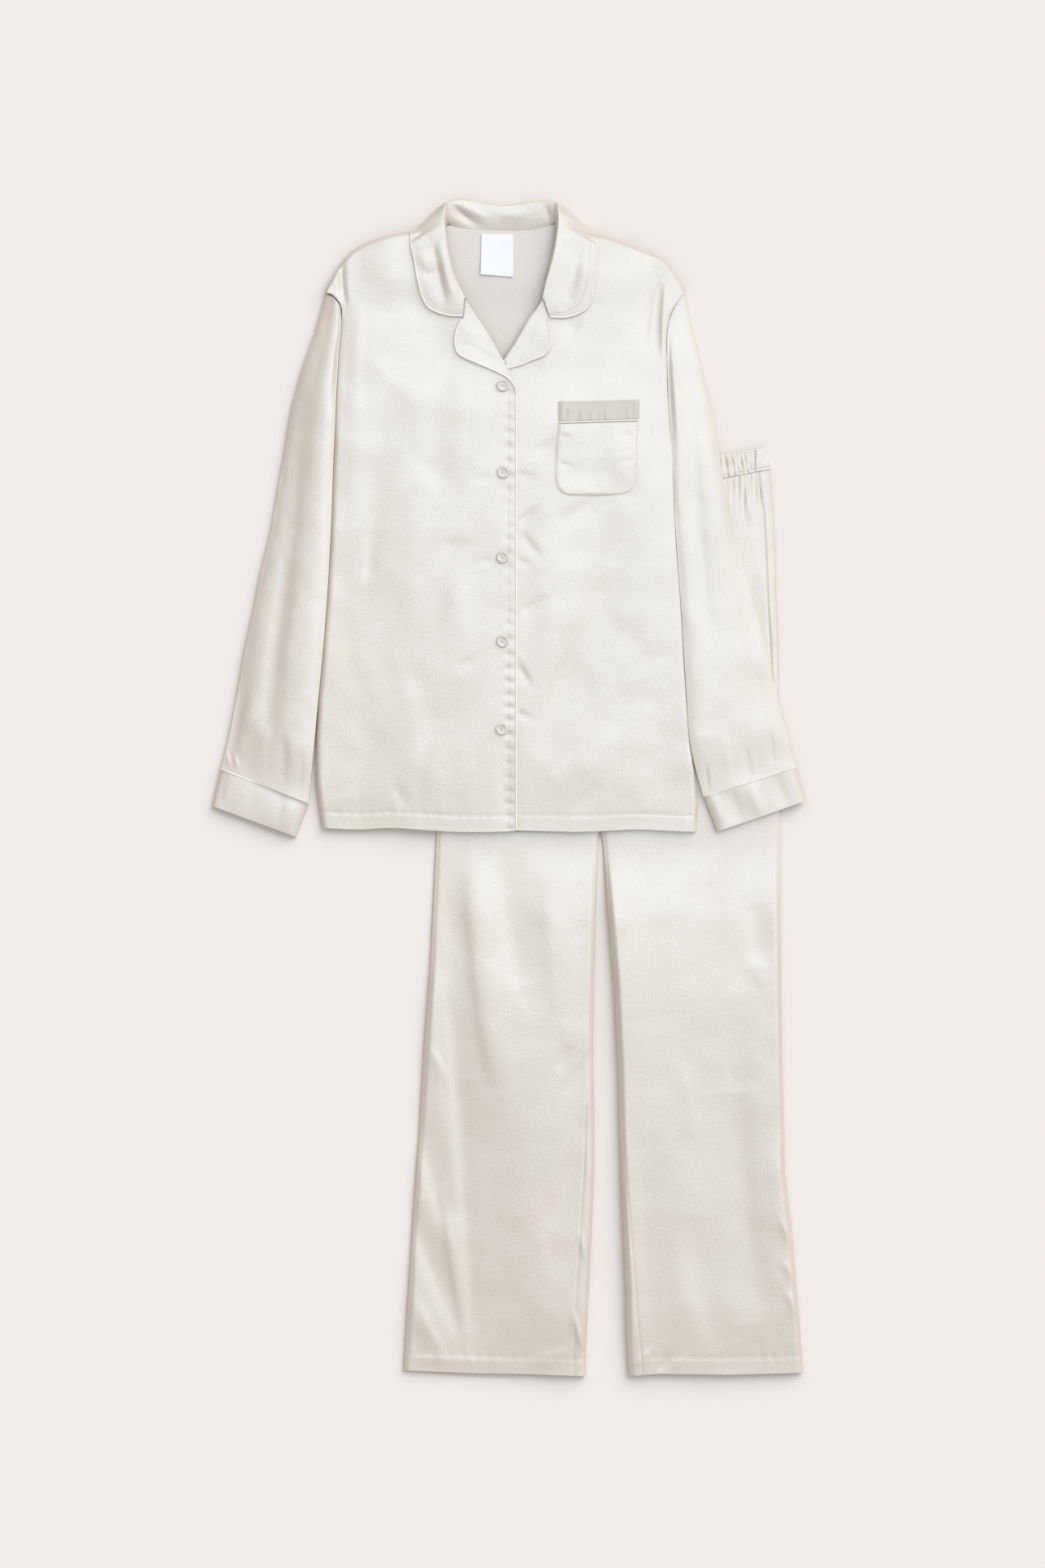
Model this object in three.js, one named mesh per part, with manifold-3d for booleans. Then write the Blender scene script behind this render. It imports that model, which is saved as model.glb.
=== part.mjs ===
// A satin pyjama set laid out flat: a long-sleeved shirt with a notched collar lies on a pair of
// straight trousers. Millimetres. The set lies on the plane z = 0, +Y points to the collar, and +X is
// the wearer's left. Every piece is the flat cut that a maker sews, as a wall of cloth of its own.

import * as THREE from 'three';
import Module from 'manifold-3d';

const wasm = await Module();
wasm.setup();

// Driving dimensions
const WALL = 1.2; // one layer of cloth
const GAP = 0.3; // clearance between neighbouring pieces
const LAYER = WALL + GAP; // rise from one layer to the next
const EDGE_AIR = 0.5; // air between two layers along their seams
const BODY_AIR = 3.4; // air inside the shirt's body
const PLACKET_AIR = 2.4; // air under the buttoned edge, where the fronts overlap
const NECK_AIR = 3.8; // air where the collar holds the fronts up
const SLEEVE_AIR = 4.8; // air inside a sleeve
const LEG_AIR = 3.2; // air inside a trouser leg
const HEM_SHARE = 0.72; // share of that air left at the open hems
const COLLAR_LIFT = 2.7; // what the back of the collar lifts the shirt off the floor
const LEGS_UNDER_SHIRT = 2 * LAYER; // what the two trouser layers lift it, where they carry it
const BODY_EDGE = 15; // width of the rounded edge at the side seams
const LEG_EDGE = 22; // the same on the trousers
const PIPING_R = 0.9; // radius of the corded piping
const BUTTON_R = 6;
const BUTTON_THICK = 2.4;
const BUTTON_HOLE_R = 0.8;
const BUTTON_X = -5.5;
const BUTTON_OFF = 0.75; // the buttons keep this off the front, whose folds they ride on
const BUTTON_Y = [407, 320, 235, 151, 63];
const OVERLAP = { start: -42, full: -24, spare: 1.15 }; // where the upper front climbs over the lower
const SHIRT_HEM_Y = -38; // the shirt's hem lies here on the trousers
const TROUSER_HEM_Y = -584;

// Colours, as the satin shows them in plain light
const IVORY = 0xece9df;
const IVORY_INSIDE = 0xe3e0d6;
const PIPING_IVORY = 0xf3f0e6;
const PEARL = 0xe2dfd4;
const LABEL_WHITE = 0xf4f4f8;

const clamp = (t) => Math.min(1, Math.max(0, t));
const mix = (a, b, t) => a + (b - a) * t;

// 0 before the start, 1 after the end, and level at both
function smooth(t) {
  const c = clamp(t);
  return c * c * (3 - 2 * c);
}

// Rows of a table as objects with the named columns
function table(columns, rows) {
  return rows.map((row) => Object.fromEntries(columns.map((name, i) => [name, row[i]])));
}

// A smooth curve through the rows of a table
function curve(rows) {
  const points = rows.map((r) => new THREE.Vector3(r.x, r.y, r.z ?? 0));
  return new THREE.CatmullRomCurve3(points, false, 'centripetal');
}

// x at a height y, read from a table whose rows run up or down the piece
function edgeAt(rows, y) {
  const up = rows[0].y < rows[rows.length - 1].y ? rows : [...rows].reverse();
  if (y <= up[0].y) return up[0].x;
  for (let i = 1; i < up.length; i++) {
    if (y <= up[i].y) {
      return mix(up[i - 1].x, up[i].x, (y - up[i - 1].y) / (up[i].y - up[i - 1].y));
    }
  }
  return up[up.length - 1].x;
}

// n + 1 places from 0 to 1. crowd gathers them at the start and at the end.
function places(n, crowdStart = 0, crowdEnd = 0) {
  return Array.from({ length: n + 1 }, (_, i) => {
    const t = i / n;
    const crowded = t - (Math.sin(2 * Math.PI * t) / (2 * Math.PI)) * mix(crowdStart, crowdEnd, t);
    return clamp(crowded);
  });
}

// Outlines of the shirt, read up the garment
const SIDE_RIGHT = table(['x', 'y'], [
  [-186, -36], [-190, -10], [-191, 10], [-188, 57], [-183, 90], [-181, 139], [-176, 196],
  [-174, 270], [-172, 330], [-170, 385], [-167, 434], [-165, 470], [-168, 488], [-173, 495],
  [-178, 499], [-183, 500],
]);
const SIDE_LEFT = table(['x', 'y'], [
  [188, -40], [189, -10], [187, 8], [182, 41], [177, 106], [172, 188], [166, 270], [164, 336],
  [160, 385], [158, 434], [159, 467], [162, 480], [167, 488], [172, 494], [175, 498], [177, 502],
]);
const SHOULDER_RIGHT = table(['x', 'y'], [
  [-183, 500], [-181, 508], [-174, 520], [-166, 533], [-156, 543], [-147, 549], [-133, 554.5],
  [-117, 559], [-98, 562], [-64, 568],
]);
const SHOULDER_LEFT = table(['x', 'y'], [
  [49, 569], [85, 559], [96, 557.5], [121, 549], [137, 543.5], [149, 538.5], [156, 534],
  [161, 529], [167, 520], [172, 511], [177, 502],
]);
const BACK_NECK = table(['x', 'y'], [[-64, 568], [-45, 563.5], [-7, 562], [31, 563.5], [49, 569]]);
// The upper front's edge, up to the break of the lapel and on along the roll line
const EDGE_UPPER = table(['x', 'y'], [
  [7, -39], [7, 188], [7, 350], [7, 385], [6.8, 398], [5, 410], [1, 421], [-10, 441], [-27, 470],
  [-42, 492], [-50, 508], [-58, 533], [-62, 553], [-64, 568],
]);
const EDGE_LOWER = table(['x', 'y'], [
  [-18, -38], [-18, 180], [-18, 350], [-17.8, 385], [-15, 410], [-8, 427], [6, 449], [22, 476],
  [34, 493], [39, 508], [45, 533], [48, 553], [49, 569],
]);
const HEM_UPPER = table(['x', 'y'], [
  [-186, -36], [-150, -37.5], [-117, -36], [-84, -38], [-51, -40], [-19, -40], [7, -39],
]);
const HEM_LOWER = table(['x', 'y'], [
  [-18, -38], [47, -39.5], [63, -40], [96, -39], [129, -37.5], [162, -39], [188, -40],
]);

// Sleeves: the outer and the inner fold, read down from the armhole to the cuff
const SLEEVE_RIGHT = {
  cap: 3,
  outer: table(['x', 'y'], [
    [-183.6, 499], [-192, 467], [-206, 426], [-217, 385], [-224, 344], [-231, 303], [-238, 262],
    [-248, 221], [-256, 180], [-265, 139], [-272, 98], [-280, 57], [-287.9, 24.3],
  ]),
  inner: table(['x', 'y'], [
    [-168.7, 487.2], [-167.5, 472], [-170, 440], [-172, 405], [-173.5, 370], [-175.5, 330],
    [-177, 285], [-179, 240], [-182, 190], [-186, 140], [-190, 98], [-195, 45], [-199.9, -10.7],
  ]),
};
const SLEEVE_LEFT = {
  outer: table(['x', 'y'], [
    [177.5, 501.6], [184, 467], [193, 434], [202, 390], [209, 350], [216, 310], [223, 270],
    [236, 224], [248, 180], [259, 140], [268, 100], [278, 62], [287.9, 26.3],
  ]),
  inner: table(['x', 'y'], [
    [167.6, 487.6], [163.8, 479], [161, 466], [160.2, 440], [161, 405], [163.2, 365], [165.8, 325],
    [167.4, 280], [170.4, 235], [173.6, 190], [176.4, 145], [179.2, 100], [183.6, 45], [194.9, -3.7],
  ]),
};
const CUFF_DEPTH = 38;
const CUFFS = {
  right: { outerTop: [-288, 24], innerTop: [-200, -11], outerEnd: [-297, -14], innerEnd: [-213, -45] },
  left: { outerTop: [288, 26], innerTop: [195, -4], outerEnd: [298, -9], innerEnd: [209, -40] },
};

// Outlines of the trousers as they lie: the folded edges and the seams just inside them, read up
const LEG_RIGHT = {
  outerFold: table(['x', 'y'], [
    [-105, -580], [-101, -517], [-96, -435], [-90, -353], [-84, -255], [-79, -189], [-75, -107],
    [-72, -41], [-74, 98], [-73, 221], [-68, 318],
  ]),
  outerStrip: table(['width', 'y'], [[2.5, -580], [2.5, 318]]),
  innerFold: table(['x', 'y'], [
    [78, -584], [78, -558], [80, -517], [82, -476], [84, -435], [86, -380], [86, -312], [85, -271],
    [86, -189], [88, -107], [90, -41], [91.3, -34], [95.5, 306],
  ]),
  innerStrip: table(['width', 'y'], [
    [12.5, -584], [13, -517], [12, -435], [10.5, -380], [8, -312], [4, -271], [2.5, -189],
    [2.5, -34], [2.5, 306],
  ]),
};
const LEG_LEFT = {
  outerFold: table(['x', 'y'], [
    [296, -582], [291, -517], [284, -435], [278, -386], [275, -271], [274, -189], [273, -107],
    [273, -41], [272, 57], [271, 139], [269, 188], [268, 229], [266, 270], [262.5, 318],
  ]),
  outerStrip: table(['width', 'y'], [
    [2.5, -582], [2.5, 0], [8.5, 142], [9.5, 221], [10, 270], [12.5, 318],
  ]),
  innerFold: table(['x', 'y'], [
    [121, -586], [119, -558], [118, -500], [115, -435], [113.5, -394], [111.5, -336], [110, -271],
    [106, -189], [99, -107], [95, -49], [92.6, -34], [96.8, 306],
  ]),
  innerStrip: table(['width', 'y'], [
    [13.5, -586], [13.5, -558], [10, -517], [8, -450], [5.5, -394], [3, -336], [2.5, -271],
    [2.5, -34], [2.5, 306],
  ]),
};
const FRONT_HEM_RIGHT = table(['x', 'y'], [[-105, -580], [-30, -583], [20, -583.5], [80, -585.5]]);
const FRONT_HEM_LEFT = table(['x', 'y'], [[119, -585.5], [150, -583], [220, -584], [297, -582]]);
const BACK_HEM_DROP = 4.5; // how far the back layer shows below the front hem, mid-leg

// The waistband's lower edge, which dips to the centre front
const WAIST_LINE = table(['x', 'y'], [
  [-70, 323], [-20, 314], [40, 308], [97, 306], [150, 308], [200, 312], [216, 315], [236, 318.5],
  [248, 321], [264, 323.5],
]);
const WAISTBAND = { depth: 23, gathers: 5, from: 217, to: 246, wave: 1.3 };

// Largest folds: a soft ridge (rise over 0) or trough from one point to another
const FOLD_COLUMNS = ['x0', 'y0', 'x1', 'y1', 'width', 'rise'];
const BODY_FOLDS = table(FOLD_COLUMNS, [
  [60, 190, 20, -20, 26, -1.8],
  [112, 240, 60, 20, 30, 1.4],
  [-112, 470, -128, 250, 34, 1.0],
  [-60, 330, -120, 60, 30, -1.2],
  [-150, 200, -140, -10, 20, 1.0],
  [-55, 120, -75, -20, 24, 1.0],
  [100, 470, 130, 300, 30, 0.9],
]);
const SLEEVE_RIGHT_FOLDS = table(FOLD_COLUMNS, [
  [-206, 330, -232, 40, 9, -2.6],
  [-190, 420, -212, 20, 12, 1.2],
  [-236, 240, -262, 60, 12, 1.0],
]);
const SLEEVE_LEFT_FOLDS = table(FOLD_COLUMNS, [
  [188, 400, 214, 60, 12, -1.2],
  [205, 330, 246, 60, 16, 1.2],
]);
const LEG_FOLDS = table(FOLD_COLUMNS, [
  [-70, -120, -42, -330, 9, -2.2],
  [-42, -330, 0, -480, 14, -2.2],
  [-82, -250, -60, -330, 7, -1.4],
  [-85, -360, -52, -440, 8, -1.6],
  [-40, -60, -12, -300, 22, 1.6],
  [16, -45, 22, -130, 11, -1.6],
  [60, -400, 20, -560, 26, 1.2],
  [206, -50, 200, -200, 16, -1.2],
  [150, -60, 168, -320, 30, 1.4],
  [252, -330, 258, -520, 16, -1.8],
  [205, -330, 215, -540, 26, 1.0],
]);

// Height that the folds give a point
function folded(folds, x, y) {
  let height = 0;
  for (const f of folds) {
    const length = Math.hypot(f.x1 - f.x0, f.y1 - f.y0);
    const [ax, ay] = [(f.x1 - f.x0) / length, (f.y1 - f.y0) / length];
    const along = ((x - f.x0) * ax + (y - f.y0) * ay) / length;
    const across = (x - f.x0) * ay - (y - f.y0) * ax;
    const fade = smooth((along + 0.15) / 0.3) * smooth((1.15 - along) / 0.3);
    height += f.rise * fade * Math.exp(-((across / f.width) ** 2));
  }
  return height;
}

const trouserLeftEdge = (y) => edgeAt(LEG_RIGHT.outerFold, y);
const trouserRightEdge = (y) => edgeAt(LEG_LEFT.outerFold, y);

// y at a place x along a table whose rows run across the piece
function levelAt(rows, x) {
  const turned = rows.map((r) => ({ x: r.y, y: r.x }));
  return edgeAt(turned, x);
}
const waistTop = (x) => levelAt(WAIST_LINE, x) + WAISTBAND.depth;

// Height of what the shirt's lowest layer lies on. It is the floor, the trousers, or the turned-down
// back of the collar. The cloth comes down from the trousers in a slope that starts clear of them.
const SLOPE = { clear: 16, clearAbove: 34, length: 62 };
const NECK_X = -6; // middle of the neck
const COLLAR_BED = { startY: 478, lengthY: 44, halfWidth: 152, lengthX: 40 };
function bed(x, y) {
  const above = waistTop(x) + SLOPE.clearAbove - SLOPE.clear - y;
  const inside = Math.min(x - trouserLeftEdge(y), trouserRightEdge(y) - x, above);
  const onTrousers = smooth((inside + SLOPE.clear + SLOPE.length) / SLOPE.length);
  const behindNeck = smooth((y - COLLAR_BED.startY) / COLLAR_BED.lengthY);
  const besideNeck = (COLLAR_BED.halfWidth - Math.abs(x - NECK_X)) / COLLAR_BED.lengthX;
  const onCollar = behindNeck * smooth(besideNeck);
  return LEGS_UNDER_SHIRT * onTrousers + COLLAR_LIFT * onCollar;
}

const shoulderY = (x) => levelAt(x < 0 ? SHOULDER_RIGHT : SHOULDER_LEFT, x);

// Air between the shirt's back and front. It is little at the side seams and shoulders, level
// under the placket, and most where the collar holds the fronts up.
function bodyAir(x, y) {
  const fromSide = Math.min(x - edgeAt(SIDE_RIGHT, y), edgeAt(SIDE_LEFT, y) - x);
  const fromShoulder = shoulderY(x) - y;
  const rim = smooth(Math.min(fromSide, fromShoulder * 0.8) / BODY_EDGE + 0.02);
  const neck = smooth((y - 380) / 110) * smooth((125 - Math.abs(x - NECK_X)) / 60);
  const fromPlacket = smooth((Math.abs(x - BUTTON_X) - 22) / 30);
  const plain = mix(BODY_AIR, NECK_AIR, neck);
  const level = mix(PLACKET_AIR, NECK_AIR, neck);
  const open = plain + folded(BODY_FOLDS, x, y) * (1 - neck);
  const hemward = mix(HEM_SHARE, 1, smooth((y - SHIRT_HEM_Y) / 60));
  return EDGE_AIR + rim * hemward * mix(level, open, fromPlacket);
}

const overlapLift = (x) => LAYER * smooth((x - OVERLAP.start) / (OVERLAP.full - OVERLAP.start));
const backOver = (x, y) => bed(x, y) + WALL;
const lowerFrontUnder = (x, y) => bed(x, y) + LAYER + bodyAir(x, y);
const upperFrontUnder = (x, y) => lowerFrontUnder(x, y) + overlapLift(x) * OVERLAP.spare;
const lowerFrontOver = (x, y) => lowerFrontUnder(x, y) + WALL;
const upperFrontOver = (x, y) => upperFrontUnder(x, y) + WALL;

// Air inside the trouser legs, near none where the shirt lies on them or the sleeve crosses them
function legAir(x, y) {
  const belowShirt = smooth((SHIRT_HEM_Y - 22 - y) / 40);
  const hemward = mix(HEM_SHARE, 1, smooth((y - TROUSER_HEM_Y) / 60));
  const fromEdge = (fold, side) => side * (edgeAt(fold, y) - x);
  const rightLeg = Math.min(-fromEdge(LEG_RIGHT.outerFold, 1), fromEdge(LEG_RIGHT.innerFold, 1));
  const leftLeg = Math.min(fromEdge(LEG_LEFT.outerFold, 1), -fromEdge(LEG_LEFT.innerFold, 1));
  const inside = Math.max(rightLeg, leftLeg);
  const rim = smooth(inside / LEG_EDGE + 0.02);
  return belowShirt * hemward * rim * Math.max(0.4, LEG_AIR + folded(LEG_FOLDS, x, y));
}

// A mesh from triangle corners, turned inside out if its volume comes out negative
function bodyGeometry(points, faces) {
  const volume = faces.reduce((sum, [a, b, c]) => {
    const [p, q, r] = [points[a], points[b], points[c]];
    return sum + p.dot(new THREE.Vector3().crossVectors(q, r)) / 6;
  }, 0);
  const index = faces.flatMap(([a, b, c]) => (volume < 0 ? [a, c, b] : [a, b, c]));
  const geometry = new THREE.BufferGeometry();
  const coordinates = points.flatMap((p) => p.toArray());
  geometry.setAttribute('position', new THREE.Float32BufferAttribute(coordinates, 3));
  geometry.setIndex(index);
  geometry.computeVertexNormals();
  return geometry;
}

// The closed wall between two sheets of points, with the same rows and columns
function wallGeometry(under, over) {
  const [rows, columns] = [under.length, under[0].length];
  const points = [...under.flat(), ...over.flat()];
  const at = (sheet, i, j) => sheet * rows * columns + i * columns + j;
  const faces = [];
  const quad = (a, b, c, d) => faces.push([a, b, c], [a, c, d]);
  for (let i = 0; i + 1 < rows; i++) {
    for (let j = 0; j + 1 < columns; j++) {
      quad(at(1, i, j), at(1, i, j + 1), at(1, i + 1, j + 1), at(1, i + 1, j));
      quad(at(0, i, j), at(0, i + 1, j), at(0, i + 1, j + 1), at(0, i, j + 1));
    }
  }
  for (let j = 0; j + 1 < columns; j++) {
    quad(at(0, 0, j), at(0, 0, j + 1), at(1, 0, j + 1), at(1, 0, j));
    quad(at(0, rows - 1, j + 1), at(0, rows - 1, j), at(1, rows - 1, j), at(1, rows - 1, j + 1));
  }
  for (let i = 0; i + 1 < rows; i++) {
    quad(at(0, i + 1, 0), at(0, i, 0), at(1, i, 0), at(1, i + 1, 0));
    const last = columns - 1;
    quad(at(0, i, last), at(0, i + 1, last), at(1, i + 1, last), at(1, i, last));
  }
  return bodyGeometry(points, faces);
}

// The closed wall of a tube, between its outer and inner loops, open at both ends
function ringGeometry(outer, inner) {
  const [rows, count] = [outer.length, outer[0].length];
  const points = [...outer.flat(), ...inner.flat()];
  const at = (skin, i, j) => skin * rows * count + i * count + (j % count);
  const faces = [];
  const quad = (a, b, c, d) => faces.push([a, b, c], [a, c, d]);
  for (let j = 0; j < count; j++) {
    for (let i = 0; i + 1 < rows; i++) {
      quad(at(0, i, j), at(0, i, j + 1), at(0, i + 1, j + 1), at(0, i + 1, j));
      quad(at(1, i, j), at(1, i + 1, j), at(1, i + 1, j + 1), at(1, i, j + 1));
    }
    quad(at(0, 0, j), at(1, 0, j), at(1, 0, j + 1), at(0, 0, j + 1));
    quad(at(0, rows - 1, j), at(0, rows - 1, j + 1), at(1, rows - 1, j + 1), at(1, rows - 1, j));
  }
  return bodyGeometry(points, faces);
}

// The loft of closed sections with the same number of points, with flat ends
function loftGeometry(sections) {
  const [rows, count] = [sections.length, sections[0].length];
  const points = sections.flat();
  const at = (i, j) => i * count + (j % count);
  const faces = [];
  for (let i = 0; i + 1 < rows; i++) {
    for (let j = 0; j < count; j++) {
      faces.push([at(i, j), at(i, j + 1), at(i + 1, j + 1)], [at(i, j), at(i + 1, j + 1), at(i + 1, j)]);
    }
  }
  // A section is a ribbon of two equally long sides, so its end is a strip of quads between them
  const half = count / 2;
  for (let j = 0; j + 1 < half; j++) {
    const [a, b, c, d] = [j, j + 1, count - 2 - j, count - 1 - j];
    faces.push([at(0, a), at(0, c), at(0, b)], [at(0, a), at(0, d), at(0, c)]);
    faces.push([at(rows - 1, a), at(rows - 1, b), at(rows - 1, c)]);
    faces.push([at(rows - 1, a), at(rows - 1, c), at(rows - 1, d)]);
  }
  return bodyGeometry(points, faces);
}

// A ribbon of the given thickness about the points of one section
function ribbon(centre, thickness) {
  const half = thickness / 2;
  const sides = centre.map((p, i) => {
    const before = centre[Math.max(0, i - 1)];
    const after = centre[Math.min(centre.length - 1, i + 1)];
    return new THREE.Vector3().subVectors(after, before).normalize();
  });
  const plane = sectionNormal(centre);
  const outward = (i) => new THREE.Vector3().crossVectors(plane, sides[i]);
  const offset = (p, i, s) => p.clone().addScaledVector(outward(i), s);
  const one = centre.map((p, i) => offset(p, i, half));
  const other = centre.map((p, i) => offset(p, i, -half));
  return [...one, ...other.reverse()];
}

// The horizontal direction square to a section, which stands upright
function sectionNormal(centre) {
  const reach = new THREE.Vector3();
  for (const p of centre) {
    const d = new THREE.Vector3(p.x - centre[0].x, p.y - centre[0].y, 0);
    if (d.lengthSq() > reach.lengthSq()) reach.copy(d);
  }
  return new THREE.Vector3(-reach.y, reach.x, 0).normalize();
}

// A four-sided cut: the points between its bottom, top, left and right edges
function cut({ bottom, top, left, right }) {
  const [b, t, l, r] = [bottom, top, left, right].map(curve);
  const corner = [b.getPointAt(0), b.getPointAt(1), t.getPointAt(0), t.getPointAt(1)];
  return (u, v) => {
    const p = new THREE.Vector3();
    p.addScaledVector(b.getPointAt(u), 1 - v).addScaledVector(t.getPointAt(u), v);
    p.addScaledVector(l.getPointAt(v), 1 - u).addScaledVector(r.getPointAt(v), u);
    p.addScaledVector(corner[0], -(1 - u) * (1 - v)).addScaledVector(corner[1], -u * (1 - v));
    return p.addScaledVector(corner[2], -(1 - u) * v).addScaledVector(corner[3], -u * v);
  };
}

// A wall of cloth over a cut, whose underside is at the height that `under` gives
function panelGeometry(shape, us, vs, under, thickness = WALL) {
  const flat = vs.map((v) => us.map((u) => shape(u, v)));
  const low = flat.map((row) => row.map((p) => new THREE.Vector3(p.x, p.y, under(p.x, p.y))));
  const high = low.map((row) => row.map((p) => new THREE.Vector3(p.x, p.y, p.z + thickness)));
  return wallGeometry(low, high);
}

const materials = {
  satin: new THREE.MeshStandardMaterial({ color: IVORY, roughness: 0.42, metalness: 0 }),
  inside: new THREE.MeshStandardMaterial({ color: IVORY_INSIDE, roughness: 0.8, metalness: 0 }),
  piping: new THREE.MeshStandardMaterial({ color: PIPING_IVORY, roughness: 0.4, metalness: 0 }),
  pearl: new THREE.MeshStandardMaterial({ color: PEARL, roughness: 0.25, metalness: 0 }),
  label: new THREE.MeshStandardMaterial({ color: LABEL_WHITE, roughness: 0.5, metalness: 0 }),
};

const set = new THREE.Group();
const shirt = new THREE.Group();
const trousers = new THREE.Group();
set.add(shirt, trousers);

function add(group, name, geometry, material) {
  const mesh = new THREE.Mesh(geometry, material);
  mesh.name = name;
  group.add(mesh);
}

// Shirt back, cut in one piece with the shoulders and the back of the neck on its top edge
const backShape = cut({
  bottom: [...HEM_UPPER.slice(0, -1), ...HEM_LOWER.slice(1)],
  top: [...SHOULDER_RIGHT, ...BACK_NECK.slice(1, -1), ...SHOULDER_LEFT],
  left: SIDE_RIGHT,
  right: SIDE_LEFT,
});
add(shirt, 'shirt_back', panelGeometry(backShape, places(14), places(19, 0, 0.75), bed), materials.inside);

// Shirt fronts: the wearer's right one lies over the left one and carries the buttonholes
const upperFrontShape = cut({
  bottom: HEM_UPPER,
  top: SHOULDER_RIGHT,
  left: SIDE_RIGHT,
  right: EDGE_UPPER,
});
const lowerFrontShape = cut({
  bottom: HEM_LOWER,
  top: SHOULDER_LEFT,
  left: EDGE_LOWER,
  right: SIDE_LEFT,
});
const FRONT_ROWS = places(25, 0, 0.72);
add(
  shirt,
  'shirt_front_right',
  panelGeometry(upperFrontShape, places(11, 0.65, 0.2), FRONT_ROWS, upperFrontUnder),
  materials.satin,
);
add(
  shirt,
  'shirt_front_left',
  panelGeometry(lowerFrontShape, places(11, 0.2, 0.65), FRONT_ROWS, lowerFrontUnder),
  materials.satin,
);

// A flattened tube of cloth. `place(s, t)` is a point across (s) and down (t) the piece, `air(s, t)`
// the air between its layers, `proud` how far its skin stands out, and `lie` what it lies on.
const UNDERSIDE = [0, 0.34, 0.67, 1];
function flatTube({ place, air, across, down, proud = 0, lie = bed }) {
  const loops = down.map((t) => {
    const inset = WALL / place(0, t).distanceTo(place(1, t));
    const inside = (s) => mix(inset, 1 - inset, s);
    const at = (s, z) => {
      const p = place(s, t);
      return p.setZ(lie(p.x, p.y) + z);
    };
    const back = [...across].reverse();
    return {
      outer: [
        ...UNDERSIDE.map((s) => at(s, 0)),
        ...back.map((s) => at(s, LAYER + WALL + air(s, t) + proud)),
      ],
      inner: [
        ...UNDERSIDE.map((s) => at(inside(s), WALL)),
        ...back.map((s) => at(inside(s), LAYER + air(s, t))),
      ],
    };
  });
  return ringGeometry(loops.map((l) => l.outer), loops.map((l) => l.inner));
}

// Sleeves: each is one cut, seamed under the arm into a tube, and lies flat in two layers.
// `cap` is how far the head of the sleeve bulges into the hollow of the armhole.
function sleevePlace({ outer, inner, cap = 0 }) {
  const [o, i] = [curve(outer), curve(inner)];
  const bulge = (s, t) => cap * Math.sin(Math.PI * s) * smooth(1 - t / 0.08);
  return (s, t) => {
    const p = o.getPointAt(t).lerp(i.getPointAt(t), s);
    return p.setY(p.y + bulge(s, t));
  };
}

const roundEdges = (s, rim) => smooth(s / rim + 0.03) * smooth((1 - s) / rim + 0.03);

function addSleeve(side, edges, folds) {
  const place = sleevePlace(edges);
  const air = (s, t) => {
    const p = place(s, t);
    const slim = mix(1, 0.55, smooth((t - 0.9) / 0.1)) * mix(0.45, 1, smooth(t / 0.12));
    return 0.1 + roundEdges(s, 0.24) * slim * (SLEEVE_AIR + folded(folds, p.x, p.y));
  };
  const geometry = flatTube({ place, air, across: places(9, 0.5, 0.5), down: places(19, 0.3, 0) });
  add(shirt, `sleeve_${side}`, geometry, materials.satin);
  return air;
}

// A cuff and the corded piping in its seam. Both are tubes that carry the sleeve on.
function addCuff(side, corners, sleeveAir) {
  const point = ([x, y]) => new THREE.Vector3(x, y, 0);
  const down = (s, t) => {
    const top = point(corners.outerTop).lerp(point(corners.innerTop), s);
    const end = point(corners.outerEnd).lerp(point(corners.innerEnd), s);
    return top.lerp(end, t);
  };
  const seamAir = (s) => sleeveAir(s, 1);
  const cordEnd = (2 * PIPING_R) / CUFF_DEPTH;
  const cuffStart = cordEnd + GAP / CUFF_DEPTH;
  const across = places(9, 0.5, 0.5);
  const cord = flatTube({ place: down, air: seamAir, across, down: [0, cordEnd], proud: 0.6 });
  const place = (s, t) => down(s, mix(cuffStart, 1, t));
  const air = (s, t) => 0.1 + roundEdges(s, 0.2) * mix(seamAir(0.5) - 0.1, 2.2, t);
  const cuff = flatTube({ place, air, across, down: places(3) });
  add(shirt, `cuff_piping_${side}`, cord, materials.piping);
  add(shirt, `cuff_${side}`, cuff, materials.satin);
}

addCuff('right', CUFFS.right, addSleeve('right', SLEEVE_RIGHT, SLEEVE_RIGHT_FOLDS));
addCuff('left', CUFFS.left, addSleeve('left', SLEEVE_LEFT, SLEEVE_LEFT_FOLDS));

// Corded piping along a curve of points
function pipingGeometry(rows, steps) {
  const SIDES = 6;
  const round = new THREE.Shape();
  for (let k = 0; k < SIDES; k++) {
    const a = (2 * Math.PI * k) / SIDES;
    const [x, y] = [PIPING_R * Math.cos(a), PIPING_R * Math.sin(a)];
    if (k === 0) round.moveTo(x, y);
    else round.lineTo(x, y);
  }
  round.closePath();
  return new THREE.ExtrudeGeometry(round, { steps, bevelEnabled: false, extrudePath: curve(rows) });
}

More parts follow.
